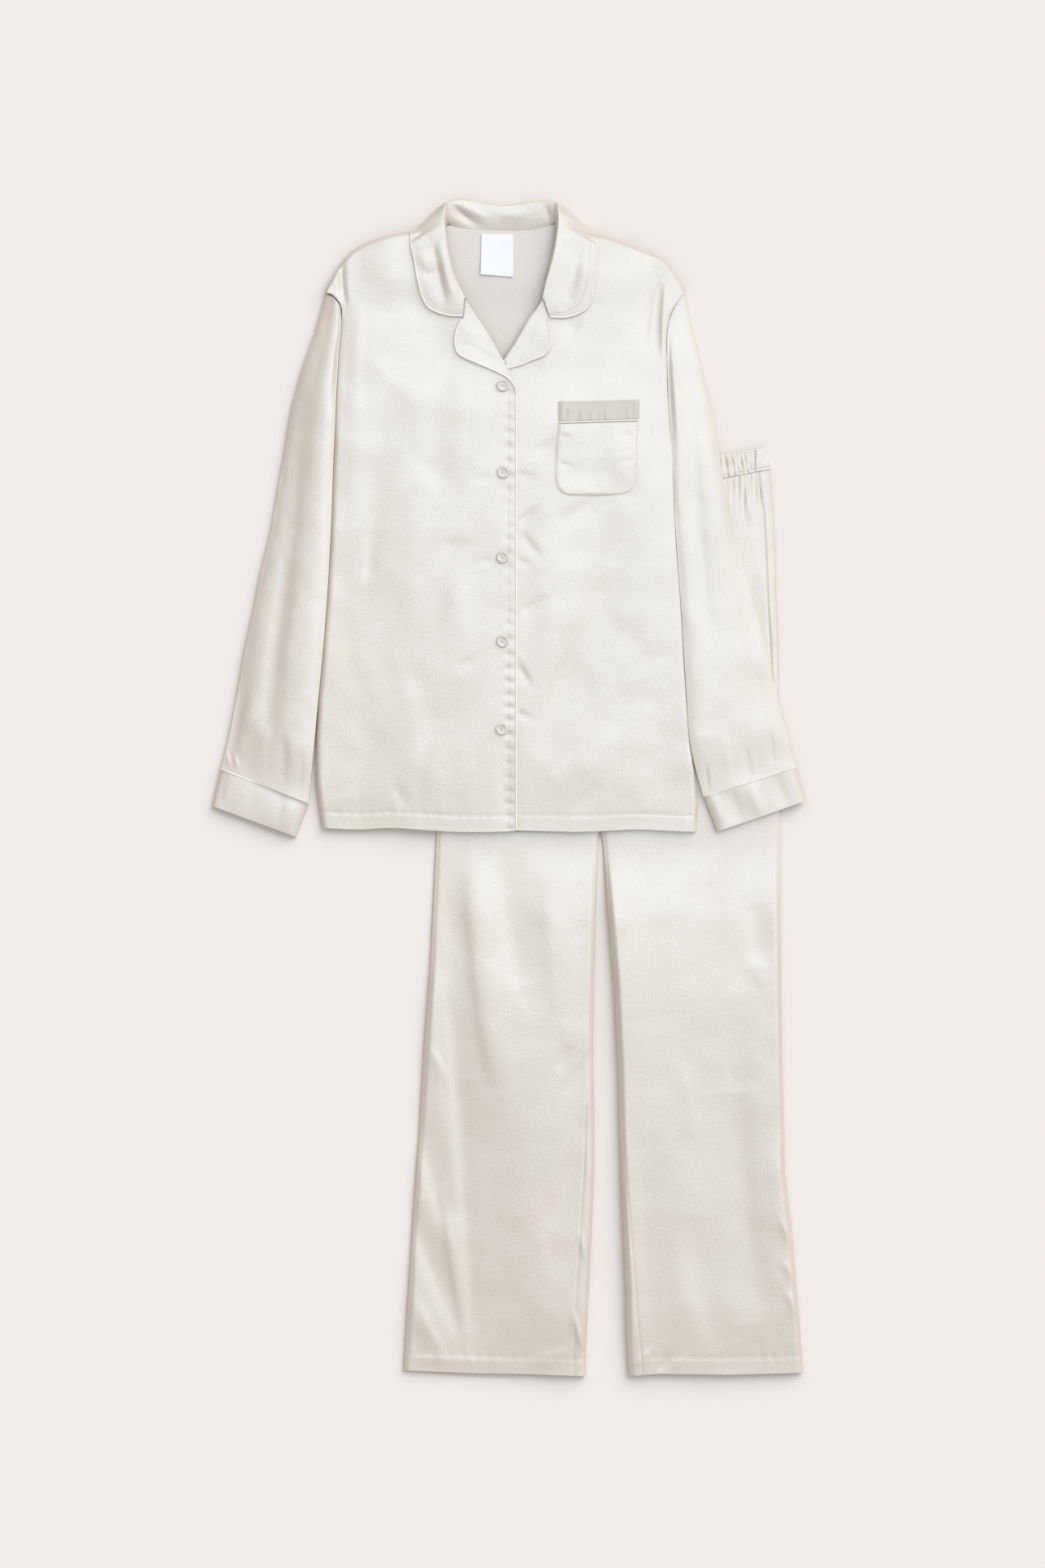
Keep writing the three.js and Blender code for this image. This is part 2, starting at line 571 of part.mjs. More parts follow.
// Lapels: the facings turned back over the fronts along the roll line
const LAPEL_RIGHT = {
  bottom: table(['x', 'y'], [[-50, 439], [-44, 435.8], [-31, 430.2], [-10, 421], [-3, 417.4], [0, 415.4]]),
  top: table(['x', 'y'], [[-44.5, 476], [-43.5, 485], [-42.5, 493]]),
  left: table(['x', 'y'], [[-50, 439], [-52.5, 446], [-53, 453], [-51.5, 462], [-48, 470], [-44.5, 476]]),
  right: table(['x', 'y'], [[0, 415.4], [-2, 422], [-10, 440], [-27, 469], [-42.5, 493]]),
};
const LAPEL_LEFT = {
  bottom: table(['x', 'y'], [[4, 426.5], [14, 429], [22, 433], [31, 436], [37, 439]]),
  top: table(['x', 'y'], [[34, 493], [37, 484], [39, 476]]),
  left: table(['x', 'y'], [[4, 426.5], [5, 447], [22, 476], [34, 493]]),
  right: table(['x', 'y'], [[37, 439], [41, 445], [41.5, 454], [40, 466], [39, 476]]),
};
const LAPEL_RISE = { roll: 0.5, edge: 2.0, width: 26 }; // what it stands off the front, and how soon
const lapelUnder = (over, rollLine) => (x, y) => {
  const fromRoll = Math.abs(edgeAt(rollLine, y) - x);
  return over(x, y) + mix(LAPEL_RISE.roll, LAPEL_RISE.edge, smooth(fromRoll / LAPEL_RISE.width));
};
const rightLapelUnder = lapelUnder(upperFrontOver, EDGE_UPPER);
const leftLapelUnder = lapelUnder(lowerFrontOver, EDGE_LOWER);
const LAPEL_GRID = [places(5), places(7)];
add(
  shirt,
  'lapel_right',
  panelGeometry(cut(LAPEL_RIGHT), ...LAPEL_GRID, rightLapelUnder),
  materials.satin,
);
add(
  shirt,
  'lapel_left',
  panelGeometry(cut(LAPEL_LEFT), ...LAPEL_GRID, leftLapelUnder),
  materials.satin,
);

// Points beside a line, at a distance to its left as it runs
function beside(rows, distance, count) {
  const line = curve(rows);
  return places(count).map((t) => {
    const [p, way] = [line.getPointAt(t), line.getTangentAt(t)];
    return { x: p.x - way.y * distance, y: p.y + way.x * distance };
  });
}

// Piping of the upper front: up its edge, round the break and along the lapel to the notch
const CORD_OUT = PIPING_R + 0.6;
const onEdge = (y, lift) => ({ x: edgeAt(EDGE_UPPER, y) + CORD_OUT, y, z: upperFrontUnder(7, y) + lift });
const edgeCord = [-37, 20, 90, 160, 230, 300, 350, 388].map((y) => onEdge(y, PIPING_R));
const breakCord = [
  onEdge(396, WALL / 2 + PIPING_R),
  { x: 7.9, y: 403, z: upperFrontOver(7, 403) + PIPING_R + 0.6 },
  { x: 5.4, y: 409, z: upperFrontOver(5, 409) + PIPING_R + 0.8 },
];
const lapelCord = beside([...LAPEL_RIGHT.bottom].reverse(), CORD_OUT, 7).map(({ x, y }) => (
  { x, y, z: rightLapelUnder(x, y) + WALL / 2 }));
const lapelCorner = { x: -52, y: 437.4, z: rightLapelUnder(-50, 439) + WALL / 2 };
const lapelSideCord = beside(LAPEL_RIGHT.left, CORD_OUT, 6).slice(0, -1).map(({ x, y }) => (
  { x, y, z: rightLapelUnder(x, y) + WALL / 2 }));
add(
  shirt,
  'piping_front_right',
  pipingGeometry([...edgeCord, ...breakCord, ...lapelCord, lapelCorner, ...lapelSideCord], 62),
  materials.piping,
);

const leftLapelCord = [
  ...beside(LAPEL_LEFT.bottom, -CORD_OUT, 5),
  ...beside(LAPEL_LEFT.right, -CORD_OUT, 5),
].map(({ x, y }) => ({ x, y, z: leftLapelUnder(x, y) + WALL / 2 }));
add(shirt, 'piping_lapel_left', pipingGeometry(leftLapelCord, 15), materials.piping);

// Collar: a stand from the neck seam up to the roll line and a fall turned down from there. On the
// fronts the fall lies over the shirt, and behind the neck it is folded down under the back.
// `rollZ` is the height of the roll line. `edgeZ` is the height of the outer edge where it is off
// the shirt, and `tuck` goes from 0 on the fronts to 1 behind the neck.
const COLLAR_COLUMNS = ['seamX', 'seamY', 'rollX', 'rollY', 'rollZ', 'edgeX', 'edgeY', 'edgeZ', 'tuck'];
const COLLAR = table(COLLAR_COLUMNS, [
  [-42.6, 493.5, -44.0, 495, 11.4, -47, 478, 0, 0],
  [-49.4, 506.5, -50.4, 507, 12.2, -62, 478.5, 0, 0],
  [-54.6, 520.5, -56, 521, 12.8, -81, 487, 0, 0],
  [-58.4, 535, -60, 536, 13.2, -89.5, 509, 0, 0],
  [-61.4, 550, -62.5, 551, 13.2, -94, 535, 0, 0],
  [-63.0, 561.5, -64, 566, 12.8, -97.5, 553, 0, 0],
  [-61.5, 569.3, -64.5, 578, 12.2, -100.5, 565.5, 8.0, 0.15],
  [-59.0, 568.8, -63.5, 585.5, 11.6, -99.0, 568.0, 1.1, 0.6],
  [-56, 567.4, -60, 590, 11.0, -90, 561.5, 1.1, 0.9],
  [-45, 564.4, -45, 592.5, 9.8, -62, 552, 1.0, 1],
  [-7, 562.9, -7, 586.5, 9.2, -7, 540, 1.0, 1],
  [31, 564.4, 31, 591, 9.8, 48, 552, 1.0, 1],
  [42, 568.2, 46, 590, 11.0, 78.5, 561.5, 1.1, 0.9],
  [44.6, 569.6, 49.5, 585.5, 11.6, 87.5, 567.5, 1.1, 0.6],
  [46.6, 570.3, 50.5, 578, 12.2, 89, 565, 8.0, 0.15],
  [47.8, 562.5, 50, 566, 12.8, 88.5, 550, 0, 0],
  [46.4, 550.5, 48, 551, 13.2, 87.5, 530, 0, 0],
  [43.4, 536, 45, 536, 13.2, 85, 508, 0, 0],
  [40.0, 521, 41, 521, 12.8, 79, 486, 0, 0],
  [37.0, 507.5, 37, 507, 12.2, 60, 477, 0, 0],
  [34.0, 494, 34.5, 495, 11.4, 43, 477.5, 0, 0],
]);
const COLLAR_BULGE = 2.5; // how far the fold reaches past the roll line
const COLLAR_OFF = WALL / 2 + 0.9; // the middle of the fall keeps this off the shirt
const NECK_CENTRE = { x: NECK_X, y: 530 };
const SEAM_STANDS_ON = { fronts: 0.8, back: 0.45 }; // clearance of the neck seam

const frontOver = (x, y) => (x < NECK_CENTRE.x ? upperFrontOver(x, y) : lowerFrontOver(x, y));

// What a point of the collar must stay above: the fronts, as far as the shoulder line
function shirtTop(x, y) {
  const onShirt = y < shoulderY(x) + 2.5;
  return onShirt ? frontOver(x, Math.min(y, shoulderY(x))) : 0;
}

const collarLine = (name, z) => curve(COLLAR.map((r) => ({ x: r[`${name}X`], y: r[`${name}Y`], z: z(r) })));
const seamHeight = (r) => (r.tuck > 0
  ? backOver(r.seamX, r.seamY) + SEAM_STANDS_ON.back
  : frontOver(r.seamX, r.seamY) + SEAM_STANDS_ON.fronts);
const edgeHeight = (r) => (r.tuck > 0 ? r.edgeZ : frontOver(r.edgeX, r.edgeY) + COLLAR_OFF);
const collarSeam = collarLine('seam', seamHeight);
const collarRoll = collarLine('roll', (r) => r.rollZ);
const collarEdge = collarLine('edge', edgeHeight);

// One upright section of the collar, from the neck seam over the roll line to the outer edge
function collarSection(t) {
  const [seam, roll, edge] = [collarSeam, collarRoll, collarEdge].map((c) => c.getPoint(t));
  const row = t * (COLLAR.length - 1);
  const k = Math.min(COLLAR.length - 2, Math.floor(row));
  const tuck = mix(COLLAR[k].tuck, COLLAR[k + 1].tuck, row - k);
  const out = new THREE.Vector3(roll.x - NECK_CENTRE.x, roll.y - NECK_CENTRE.y, 0).normalize();
  const crest = roll.clone().addScaledVector(out, COLLAR_BULGE);
  const over = edge.clone().lerp(roll, 0.4).setZ(mix(edge.z + 1.2, roll.z, 0.35));
  const under = crest.clone().addScaledVector(out, COLLAR_BULGE).setZ(edge.z);
  const low = over.lerp(under, tuck);
  const middle = seam.clone().lerp(roll, 0.5).setZ(roll.z - 0.8);
  const stand = new THREE.QuadraticBezierCurve3(seam, middle, roll);
  const fall = new THREE.CubicBezierCurve3(roll, crest, low, edge);
  const turned = fall.getPoints(6).map((p, i) => {
    const floor = WALL / 2 + 0.05;
    const clear = i > 1 ? shirtTop(p.x, p.y) + COLLAR_OFF : 0;
    const free = tuck > 0.5 ? floor : Math.max(floor, clear);
    return p.setZ(Math.max(p.z, free));
  });
  return [...stand.getPoints(2).slice(0, -1), ...turned];
}
const collarCentres = places(36).map(collarSection);
add(shirt, 'collar', loftGeometry(collarCentres.map((c) => ribbon(c, WALL))), materials.satin);

// Piping round the collar's outer edge
const collarCord = collarCentres.map((centre) => {
  const [last, before] = [centre[centre.length - 1], centre[centre.length - 2]];
  const out = new THREE.Vector3(last.x - before.x, last.y - before.y, 0).normalize();
  const p = last.clone().addScaledVector(out, CORD_OUT);
  return { x: p.x, y: p.y, z: Math.max(p.z, PIPING_R + 0.05) };
});
add(shirt, 'piping_collar', pipingGeometry(collarCord, 50), materials.piping);

// Chest pocket on the wearer's left: the bag, the band across its top and the piping between them
const POCKET = {
  bottom: table(['x', 'y'], [[62, 297], [90, 296.5], [116, 299]]),
  top: table(['x', 'y'], [[50, 368], [90, 369.2], [130, 370.5]]),
  left: table(['x', 'y'], [[62, 297], [53, 300], [48, 307], [47, 316], [48, 345], [50, 368]]),
  right: table(['x', 'y'], [[116, 299], [124, 302], [128, 308], [129, 316], [129.5, 345], [130, 370.5]]),
};
const POCKET_BAND = {
  bottom: table(['x', 'y'], [[50, 371.5], [90, 372.7], [131, 374]]),
  top: table(['x', 'y'], [[49.5, 391], [90, 391.6], [131.5, 393]]),
  left: table(['x', 'y'], [[50, 371.5], [49.5, 391]]),
  right: table(['x', 'y'], [[131, 374], [131.5, 393]]),
};
const POCKET_GAP = 0.85; // the pocket keeps this off the front, whose folds it follows
const pocketUnder = (x, y) => lowerFrontOver(x, y) + POCKET_GAP;
add(shirt, 'pocket', panelGeometry(cut(POCKET), places(7), places(7), pocketUnder), materials.satin);
add(
  shirt,
  'pocket_band',
  panelGeometry(cut(POCKET_BAND), places(7), places(2), pocketUnder),
  materials.satin,
);
const pocketCord = places(6).map((t) => {
  const [x, y] = [mix(50.5, 130, t), mix(369.9, 372.4, t)];
  return { x, y, z: lowerFrontOver(x, y) + POCKET_GAP + PIPING_R + 0.5 };
});
add(shirt, 'piping_pocket', pipingGeometry(pocketCord, 7), materials.piping);

// Neck label: a plain woven tab that hangs from the back neck seam
const LABEL = {
  bottom: table(['x', 'y'], [[-28, 519], [5, 516.5]]),
  top: table(['x', 'y'], [[-27, 559.5], [5, 559.5]]),
  left: table(['x', 'y'], [[-28, 519], [-27, 559.5]]),
  right: table(['x', 'y'], [[5, 516.5], [5, 559.5]]),
};
add(
  shirt,
  'neck_label',
  panelGeometry(cut(LABEL), places(3), places(3), (x, y) => backOver(x, y) + 0.45, 1),
  materials.label,
);

// Buttons: round discs with a raised rim and four holes
function solid(geometry) {
  const positions = [];
  const lookup = new Map();
  const corner = [];
  const source = geometry.getAttribute('position');
  const order = geometry.index ? [...geometry.index.array] : [...Array(source.count).keys()];
  for (const i of order) {
    const p = [source.getX(i), source.getY(i), source.getZ(i)];
    const key = p.map((c) => Math.round(c * 1e4)).join();
    if (!lookup.has(key)) {
      lookup.set(key, positions.length / 3);
      positions.push(...p);
    }
    corner.push(lookup.get(key));
  }
  const triangles = [];
  for (let i = 0; i < corner.length; i += 3) {
    const [a, b, c] = corner.slice(i, i + 3);
    if (a !== b && b !== c && c !== a) triangles.push(a, b, c);
  }
  return new wasm.Manifold(new wasm.Mesh({
    numProp: 3,
    vertProperties: new Float32Array(positions),
    triVerts: new Uint32Array(triangles),
  }));
}

function geometryOf(manifold) {
  const mesh = manifold.getMesh();
  const geometry = new THREE.BufferGeometry();
  geometry.setAttribute('position', new THREE.BufferAttribute(new Float32Array(mesh.vertProperties), 3));
  geometry.setIndex([...mesh.triVerts]);
  geometry.computeVertexNormals();
  return geometry;
}

function buttonGeometry() {
  const half = BUTTON_THICK / 2;
  const profile = [
    [0, -half], [BUTTON_R - 0.8, -half], [BUTTON_R, -half + 0.7], [BUTTON_R, half - 0.4],
    [BUTTON_R - 1.3, half], [BUTTON_R - 2.2, half - 0.8], [0, half - 0.8],
  ].map(([r, z]) => new THREE.Vector2(r, z));
  const disc = new THREE.LatheGeometry(profile, 14).rotateX(Math.PI / 2);
  let button = solid(disc);
  const HOLE_SPACING = 1.5;
  for (const [sx, sy] of [[-1, -1], [1, -1], [1, 1], [-1, 1]]) {
    const hole = new THREE.CylinderGeometry(BUTTON_HOLE_R, BUTTON_HOLE_R, 2 * BUTTON_THICK, 5);
    hole.rotateX(Math.PI / 2).translate(sx * HOLE_SPACING, sy * HOLE_SPACING, 0);
    button = button.subtract(solid(hole));
  }
  return geometryOf(button);
}

BUTTON_Y.forEach((y, i) => {
  const mesh = new THREE.Mesh(buttonGeometry(), materials.pearl);
  mesh.name = `button_${i + 1}`;
  mesh.position.set(BUTTON_X, y, upperFrontOver(BUTTON_X, y) + BUTTON_OFF + BUTTON_THICK / 2);
  shirt.add(mesh);
});

// Trousers. A back leg lies on the floor, turns up over both folded edges and ends at the seams, so
// its section is a C, and the front leg closes it. Both are made from the same rows.
const LEG_ROWS = places(20, 0.2, 0);
const WAIST_SEAM = 0.6; // clearance below the waistband
const widthAt = (strip, y) => edgeAt(strip.map((r) => ({ x: r.width, y: r.y })), y);
const legTop = (x) => levelAt(WAIST_LINE, x) - WAIST_SEAM;

// The folds and seams of a leg in the row at t, and the height y of that row at a place x
function legRow(leg, hem, t) {
  const level = mix(TROUSER_HEM_Y, 312, t);
  const [outer, inner] = [edgeAt(leg.outerFold, level), edgeAt(leg.innerFold, level)];
  const side = Math.sign(inner - outer);
  const outerSeam = outer + side * widthAt(leg.outerStrip, level);
  const innerSeam = inner - side * widthAt(leg.innerStrip, level);
  return { outer, inner, outerSeam, innerSeam, side, t, y: (x) => mix(levelAt(hem, x), legTop(x), t) };
}

// Half the section of a back leg: from the seam over the fold to the floor
function turnedEdge(row, fold, seam, dir) {
  const high = (x) => LAYER + WALL / 2 + legAir(x, row.y(x));
  const start = fold + dir * LAYER;
  const top = high(start);
  const radius = (top - WALL / 2) / 2;
  const arc = [45, 90, 135].map((degrees) => {
    const a = THREE.MathUtils.degToRad(degrees);
    return [start - dir * (LAYER - WALL / 2) * Math.sin(a), WALL / 2 + radius * (1 + Math.cos(a))];
  });
  return [[seam, high(seam)], [start, top], ...arc, [start, WALL / 2]];
}

function addLeg(side, leg, hem) {
  const rows = LEG_ROWS.map((t) => legRow(leg, hem, t));
  const sections = rows.map((row) => {
    const floor = [0.3, 0.7].map((s) => [mix(row.outer, row.inner, s), WALL / 2]);
    const profile = [
      ...turnedEdge(row, row.outer, row.outerSeam, row.side),
      ...floor,
      ...turnedEdge(row, row.inner, row.innerSeam, -row.side).reverse(),
    ];
    return ribbon(profile.map(([x, z]) => {
      const across = clamp((x - row.outer) / (row.inner - row.outer));
      const drop = BACK_HEM_DROP * Math.sin(Math.PI * across) * (1 - row.t);
      return new THREE.Vector3(x, row.y(x) - drop, z);
    }), WALL);
  });
  add(trousers, `trouser_back_${side}`, loftGeometry(sections), materials.satin);

  const cells = places(10, 0.4, 0.4);
  const under = rows.map((row) => cells.map((s) => {
    const x = mix(row.outerSeam + row.side * GAP, row.innerSeam - row.side * GAP, s);
    return new THREE.Vector3(x, row.y(x), LAYER + legAir(x, row.y(x)));
  }));
  const over = under.map((row) => row.map((p) => p.clone().setZ(p.z + WALL)));
  add(trousers, `trouser_front_${side}`, wallGeometry(under, over), materials.satin);
}
addLeg('right', LEG_RIGHT, FRONT_HEM_RIGHT);
addLeg('left', LEG_LEFT, FRONT_HEM_LEFT);

// Waistband: an elastic casing that lies flat as a ring, gathered where it shows
const WAIST_TAPER = 6; // its top edge is this much further in than its lower edge
function waistbandGeometry() {
  const [left, right] = [-70.5, 263.5];
  const share = (x) => (x - left) / (right - left);
  const gathered = { from: share(WAISTBAND.from), to: share(WAISTBAND.to) };
  const plain = [0, 0.01, 0.15, 0.3, 0.45, 0.6, 0.75];
  const PER_GATHER = 4;
  const count = WAISTBAND.gathers * PER_GATHER;
  const waves = Array.from({ length: count + 1 }, (_, i) => mix(gathered.from, gathered.to, i / count));
  const across = [...plain, ...waves, 0.965, 0.985, 1];
  const place = (s, t) => {
    const taper = WAIST_TAPER * t * smooth((s - 0.6) * 3);
    const x = mix(left, right, s) - taper;
    return new THREE.Vector3(x, levelAt(WAIST_LINE, x) + WAISTBAND.depth * t, 0);
  };
  const air = (s) => {
    const g = clamp((s - gathered.from) / (gathered.to - gathered.from));
    const wave = (1 - Math.cos(2 * Math.PI * WAISTBAND.gathers * g)) / 2;
    const end = smooth((s - gathered.to) / 0.02) * smooth((1 - s) / 0.012);
    return 0.05 + WAISTBAND.wave * wave + 0.8 * end;
  };
  const down = [0, 0.12, 0.5, 0.88, 1];
  return flatTube({ place, air, across, down, lie: () => 0 });
}

add(trousers, 'waistband', waistbandGeometry(), materials.satin);

// The origin is the middle of the set's box, on the surface that it lies on
const box = new THREE.Box3().setFromObject(set);
const middle = box.getCenter(new THREE.Vector3());
set.position.set(-middle.x, -middle.y, -box.min.z);

export default set;
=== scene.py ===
# %% [markdown]
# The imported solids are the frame: they carry the true sizes, and every cloth piece below is cut to
# them. Loading them first fixes the units (metres), the origin and the box that the cloth must keep.

# %% Load the frame
import math

import bmesh
import bpy
import numpy as np
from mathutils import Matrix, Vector


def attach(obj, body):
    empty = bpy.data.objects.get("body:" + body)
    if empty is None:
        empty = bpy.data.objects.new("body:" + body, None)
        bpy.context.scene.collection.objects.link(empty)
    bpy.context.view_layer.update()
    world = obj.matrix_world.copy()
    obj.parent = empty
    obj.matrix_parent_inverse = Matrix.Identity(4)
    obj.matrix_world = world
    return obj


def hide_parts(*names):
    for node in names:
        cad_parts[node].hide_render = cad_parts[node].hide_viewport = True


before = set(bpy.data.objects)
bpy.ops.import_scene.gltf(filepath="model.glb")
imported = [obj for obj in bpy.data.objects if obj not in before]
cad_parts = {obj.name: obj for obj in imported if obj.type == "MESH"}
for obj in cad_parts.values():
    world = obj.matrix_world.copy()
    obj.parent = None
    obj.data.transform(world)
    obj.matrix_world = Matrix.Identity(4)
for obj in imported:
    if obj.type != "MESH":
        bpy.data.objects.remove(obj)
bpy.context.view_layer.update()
print("frame:", len(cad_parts), "solids")

# %% [markdown]
# The set was measured on its own sheet in millimetres, with the middle of the placket near x = 0 and
# the shirt's hem near y = -40. The frame's origin is the middle of the whole set's box instead, so
# every point is shifted once, where it becomes a mesh. Cloth is described here as heights over that
# sheet, which suits a garment that lies flat: one number a point says how far the cloth stands up.

# %% Units and small helpers
SHEET_MIDDLE = (0.5, 2.81)  # the frame's origin on the sheet
WALL = 1.2  # one layer of cloth in the solids
LAYER = 1.5  # rise from one layer to the next
CLOTH = 0.5  # how thick one layer looks


def table(columns, rows):
    """Rows as arrays, one for each named column."""
    return {name: np.array([row[i] for row in rows], float) for i, name in enumerate(columns)}


def mix(a, b, t):
    return a + (b - a) * t


def smooth(t):
    """0 before the start, 1 after the end, level at both."""
    c = np.clip(t, 0.0, 1.0)
    return c * c * (3 - 2 * c)


def swell(t):
    """Rises steeply from 0 and rounds off at 1, as a stuffed edge does."""
    c = np.clip(t, 0.0, 1.0)
    return np.sqrt(1 - (1 - c) ** 2)


def places(n, crowd_start=0.0, crowd_end=0.0):
    """n + 1 places from 0 to 1, crowded at the start or the end."""
    t = np.linspace(0, 1, n + 1)
    crowd = mix(crowd_start, crowd_end, t)
    return np.clip(t - np.sin(2 * np.pi * t) / (2 * np.pi) * crowd, 0, 1)


def flow(rows):
    """A smooth line through the points of a table, as a function from 0..1 to points."""
    p = np.column_stack([rows["x"], rows["y"]])
    s = np.concatenate([[0], np.cumsum(np.hypot(*np.diff(p, axis=0).T))])
    slope = np.gradient(p, s, axis=0)
    fine = np.linspace(0, s[-1], 40 * len(s))
    k = np.clip(np.searchsorted(s, fine, side="right") - 1, 0, len(s) - 2)
    h = s[k + 1] - s[k]
    u = ((fine - s[k]) / h)[:, None]
    h = h[:, None]
    q = (
        p[k] * (1 + 2 * u) * (1 - u) ** 2
        + slope[k] * h * u * (1 - u) ** 2
        + p[k + 1] * u**2 * (3 - 2 * u)
        + slope[k + 1] * h * u**2 * (u - 1)
    )
    reach = np.concatenate([[0], np.cumsum(np.hypot(*np.diff(q, axis=0).T))])
    reach /= reach[-1]
    return lambda t: np.column_stack([np.interp(t, reach, q[:, 0]), np.interp(t, reach, q[:, 1])])


def hermite(values, at):
    """A smooth curve through values at 0, 1, 2 and so on."""
    slope = np.gradient(values)
    k = np.clip(np.floor(at).astype(int), 0, len(values) - 2)
    u = at - k
    return (
        values[k] * (1 + 2 * u) * (1 - u) ** 2 + slope[k] * u * (1 - u) ** 2
        + values[k + 1] * u**2 * (3 - 2 * u) + slope[k + 1] * u**2 * (u - 1)
    )


def edge_at(rows, y):
    """x of an edge at the height y."""
    order = np.argsort(rows["y"], kind="stable")
    return np.interp(y, rows["y"][order], rows["x"][order])


def level_at(rows, x):
    """y of an edge at the place x."""
    order = np.argsort(rows["x"], kind="stable")
    return np.interp(x, rows["x"][order], rows["y"][order])


# %% [markdown]
# No two hand-laid garments lie alike, and satin shows every slight unevenness. A soft noise, made
# from a fixed table of random numbers, gives the same gentle waves on each run. It is evaluated in
# numpy because a cloth here has tens of thousands of points.

# %% Soft unevenness and placed folds
RANDOM = np.random.default_rng(7).uniform(-1, 1, (256, 256))


def waves(x, y, size, seed=0):
    """Smooth noise between -1 and 1 whose humps are about `size` millimetres across."""
    gx = np.asarray(x) / size + 31.7 * seed
    gy = np.asarray(y) / size + 17.3 * seed
    ix = np.floor(gx).astype(int)
    iy = np.floor(gy).astype(int)
    fx = smooth(gx - ix)
    fy = smooth(gy - iy)
    corner = lambda i, j: RANDOM[(ix + i) % 256, (iy + j) % 256]
    low = mix(corner(0, 0), corner(1, 0), fx)
    high = mix(corner(0, 1), corner(1, 1), fx)
    return mix(low, high, fy)


FOLD = ["x0", "y0", "xm", "ym", "x1", "y1", "width", "rise"]


def folded(folds, x, y):
    """Height of the placed folds. Each runs from point 0 through point m to point 1. A rise over 0
    is a ridge and under 0 a trough, and one flank is steeper than the other."""
    height = np.zeros_like(x)
    for x0, y0, xm, ym, x1, y1, width, rise in zip(*(folds[c] for c in FOLD)):
        t = np.linspace(0, 1, 25)
        cx, cy = 2 * xm - (x0 + x1) / 2, 2 * ym - (y0 + y1) / 2
        lx = (1 - t) ** 2 * x0 + 2 * t * (1 - t) * cx + t**2 * x1
        ly = (1 - t) ** 2 * y0 + 2 * t * (1 - t) * cy + t**2 * y1
        reach = 3 * width
        near = (
            (x > lx.min() - reach) & (x < lx.max() + reach) & (y > ly.min() - reach) & (y < ly.max() + reach)
        )
        if not near.any():
            continue
        px, py = x[near], y[near]
        best = np.full(px.shape, 1e9)
        side = np.zeros(px.shape)
        along = np.zeros(px.shape)
        for k in range(len(t) - 1):
            dx, dy = lx[k + 1] - lx[k], ly[k + 1] - ly[k]
            length = max(math.hypot(dx, dy), 1e-6)
            f = np.clip(((px - lx[k]) * dx + (py - ly[k]) * dy) / length**2, 0, 1)
            ex, ey = px - lx[k] - f * dx, py - ly[k] - f * dy
            d = np.hypot(ex, ey)
            closer = d < best
            best = np.where(closer, d, best)
            side = np.where(closer, np.sign(dx * ey - dy * ex), side)
            along = np.where(closer, (k + f) / (len(t) - 1), along)
        flank = width * np.where(side > 0, 0.7, 1.25)
        fade = np.sin(np.pi * np.clip(along, 0.02, 0.98)) ** 0.5
        height[near] += rise * fade * np.exp(-((best / flank) ** 2))
    return height


def shelved(shelves, x, y):
    """Height of the placed shelves. Each climbs to the right of a line that is read up the cloth."""
    height = np.zeros_like(x)
    for x0, y0, xm, ym, x1, y1, width0, width1, rise0, rise1 in zip(*(shelves[c] for c in SHELF)):
        t = np.clip((y - y0) / (y1 - y0), 0, 1)
        bend = 4 * t * (1 - t) * (xm - (x0 + x1) / 2)
        out = (x - mix(x0, x1, t) - bend) / mix(width0, width1, t)
        ends = smooth((y1 + 40 - y) / 60) * smooth((y - y0 + 40) / 60)
        height += mix(rise0, rise1, t) * ends * smooth(0.5 + 0.5 * np.clip(2 * out - 1, -1, 1) * 0.999)
    return height


# %% [markdown]
# Every piece of the shirt is a flat cut with an edge table, read up the garment. These are the same
# outlines as the solids have, so cloth and solid lie in the same place.

# %% Outlines of the shirt
XY = ["x", "y"]
SIDE_RIGHT = table(XY, [
    (-186, -36), (-190, -10), (-192, 10), (-191.5, 57), (-189.3, 98), (-185.4, 140), (-181.4, 190),
    (-178.4, 240), (-176.4, 285), (-174.9, 330), (-172.9, 370), (-171.3, 405), (-169.3, 440),
    (-166.8, 472), (-168, 488), (-173, 495), (-178, 499), (-183, 500),
])
SIDE_LEFT = table(XY, [
    (188, -40), (189, -10), (187, 8), (182, 41), (177, 106), (172, 188), (166, 270), (164, 336),
    (160, 385), (158, 434), (159, 467), (162, 480), (167, 488), (172, 494), (175, 498), (177, 502),
])
SHOULDER_RIGHT = table(XY, [
    (-183, 500), (-181, 508), (-174, 520), (-166, 533), (-156, 543), (-147, 549), (-133, 554.5),
    (-117, 559), (-98, 562), (-64, 568),
])
SHOULDER_LEFT = table(XY, [
    (49, 569), (85, 559), (96, 557.5), (121, 549), (137, 543.5), (149, 538.5), (156, 534),
    (161, 529), (167, 520), (172, 511), (177, 502),
])
BACK_NECK = table(XY, [(-64, 568), (-45, 566.5), (-7, 565), (31, 566.5), (49, 569)])
EDGE_UPPER = table(XY, [
    (7, -39), (7, 188), (7, 350), (7, 385), (6.8, 398), (5, 410), (1, 421), (-10, 441), (-27, 470),
    (-42, 492), (-50, 508), (-58, 533), (-62, 553), (-64, 568),
])
EDGE_LOWER = table(XY, [
    (-18, -38), (-18, 180), (-18, 350), (-17.8, 385), (-15, 410), (-8, 427), (6, 449), (22, 476),
    (34, 493), (39, 508), (45, 533), (48, 553), (49, 569),
])
HEM_UPPER = table(XY, [
    (-186, -36), (-150, -37.5), (-117, -36), (-84, -38), (-51, -40), (-19, -40), (7, -39),
])
HEM_LOWER = table(XY, [
    (-18, -38), (47, -39.5), (63, -40), (96, -39), (129, -37.5), (162, -39), (188, -40),
])
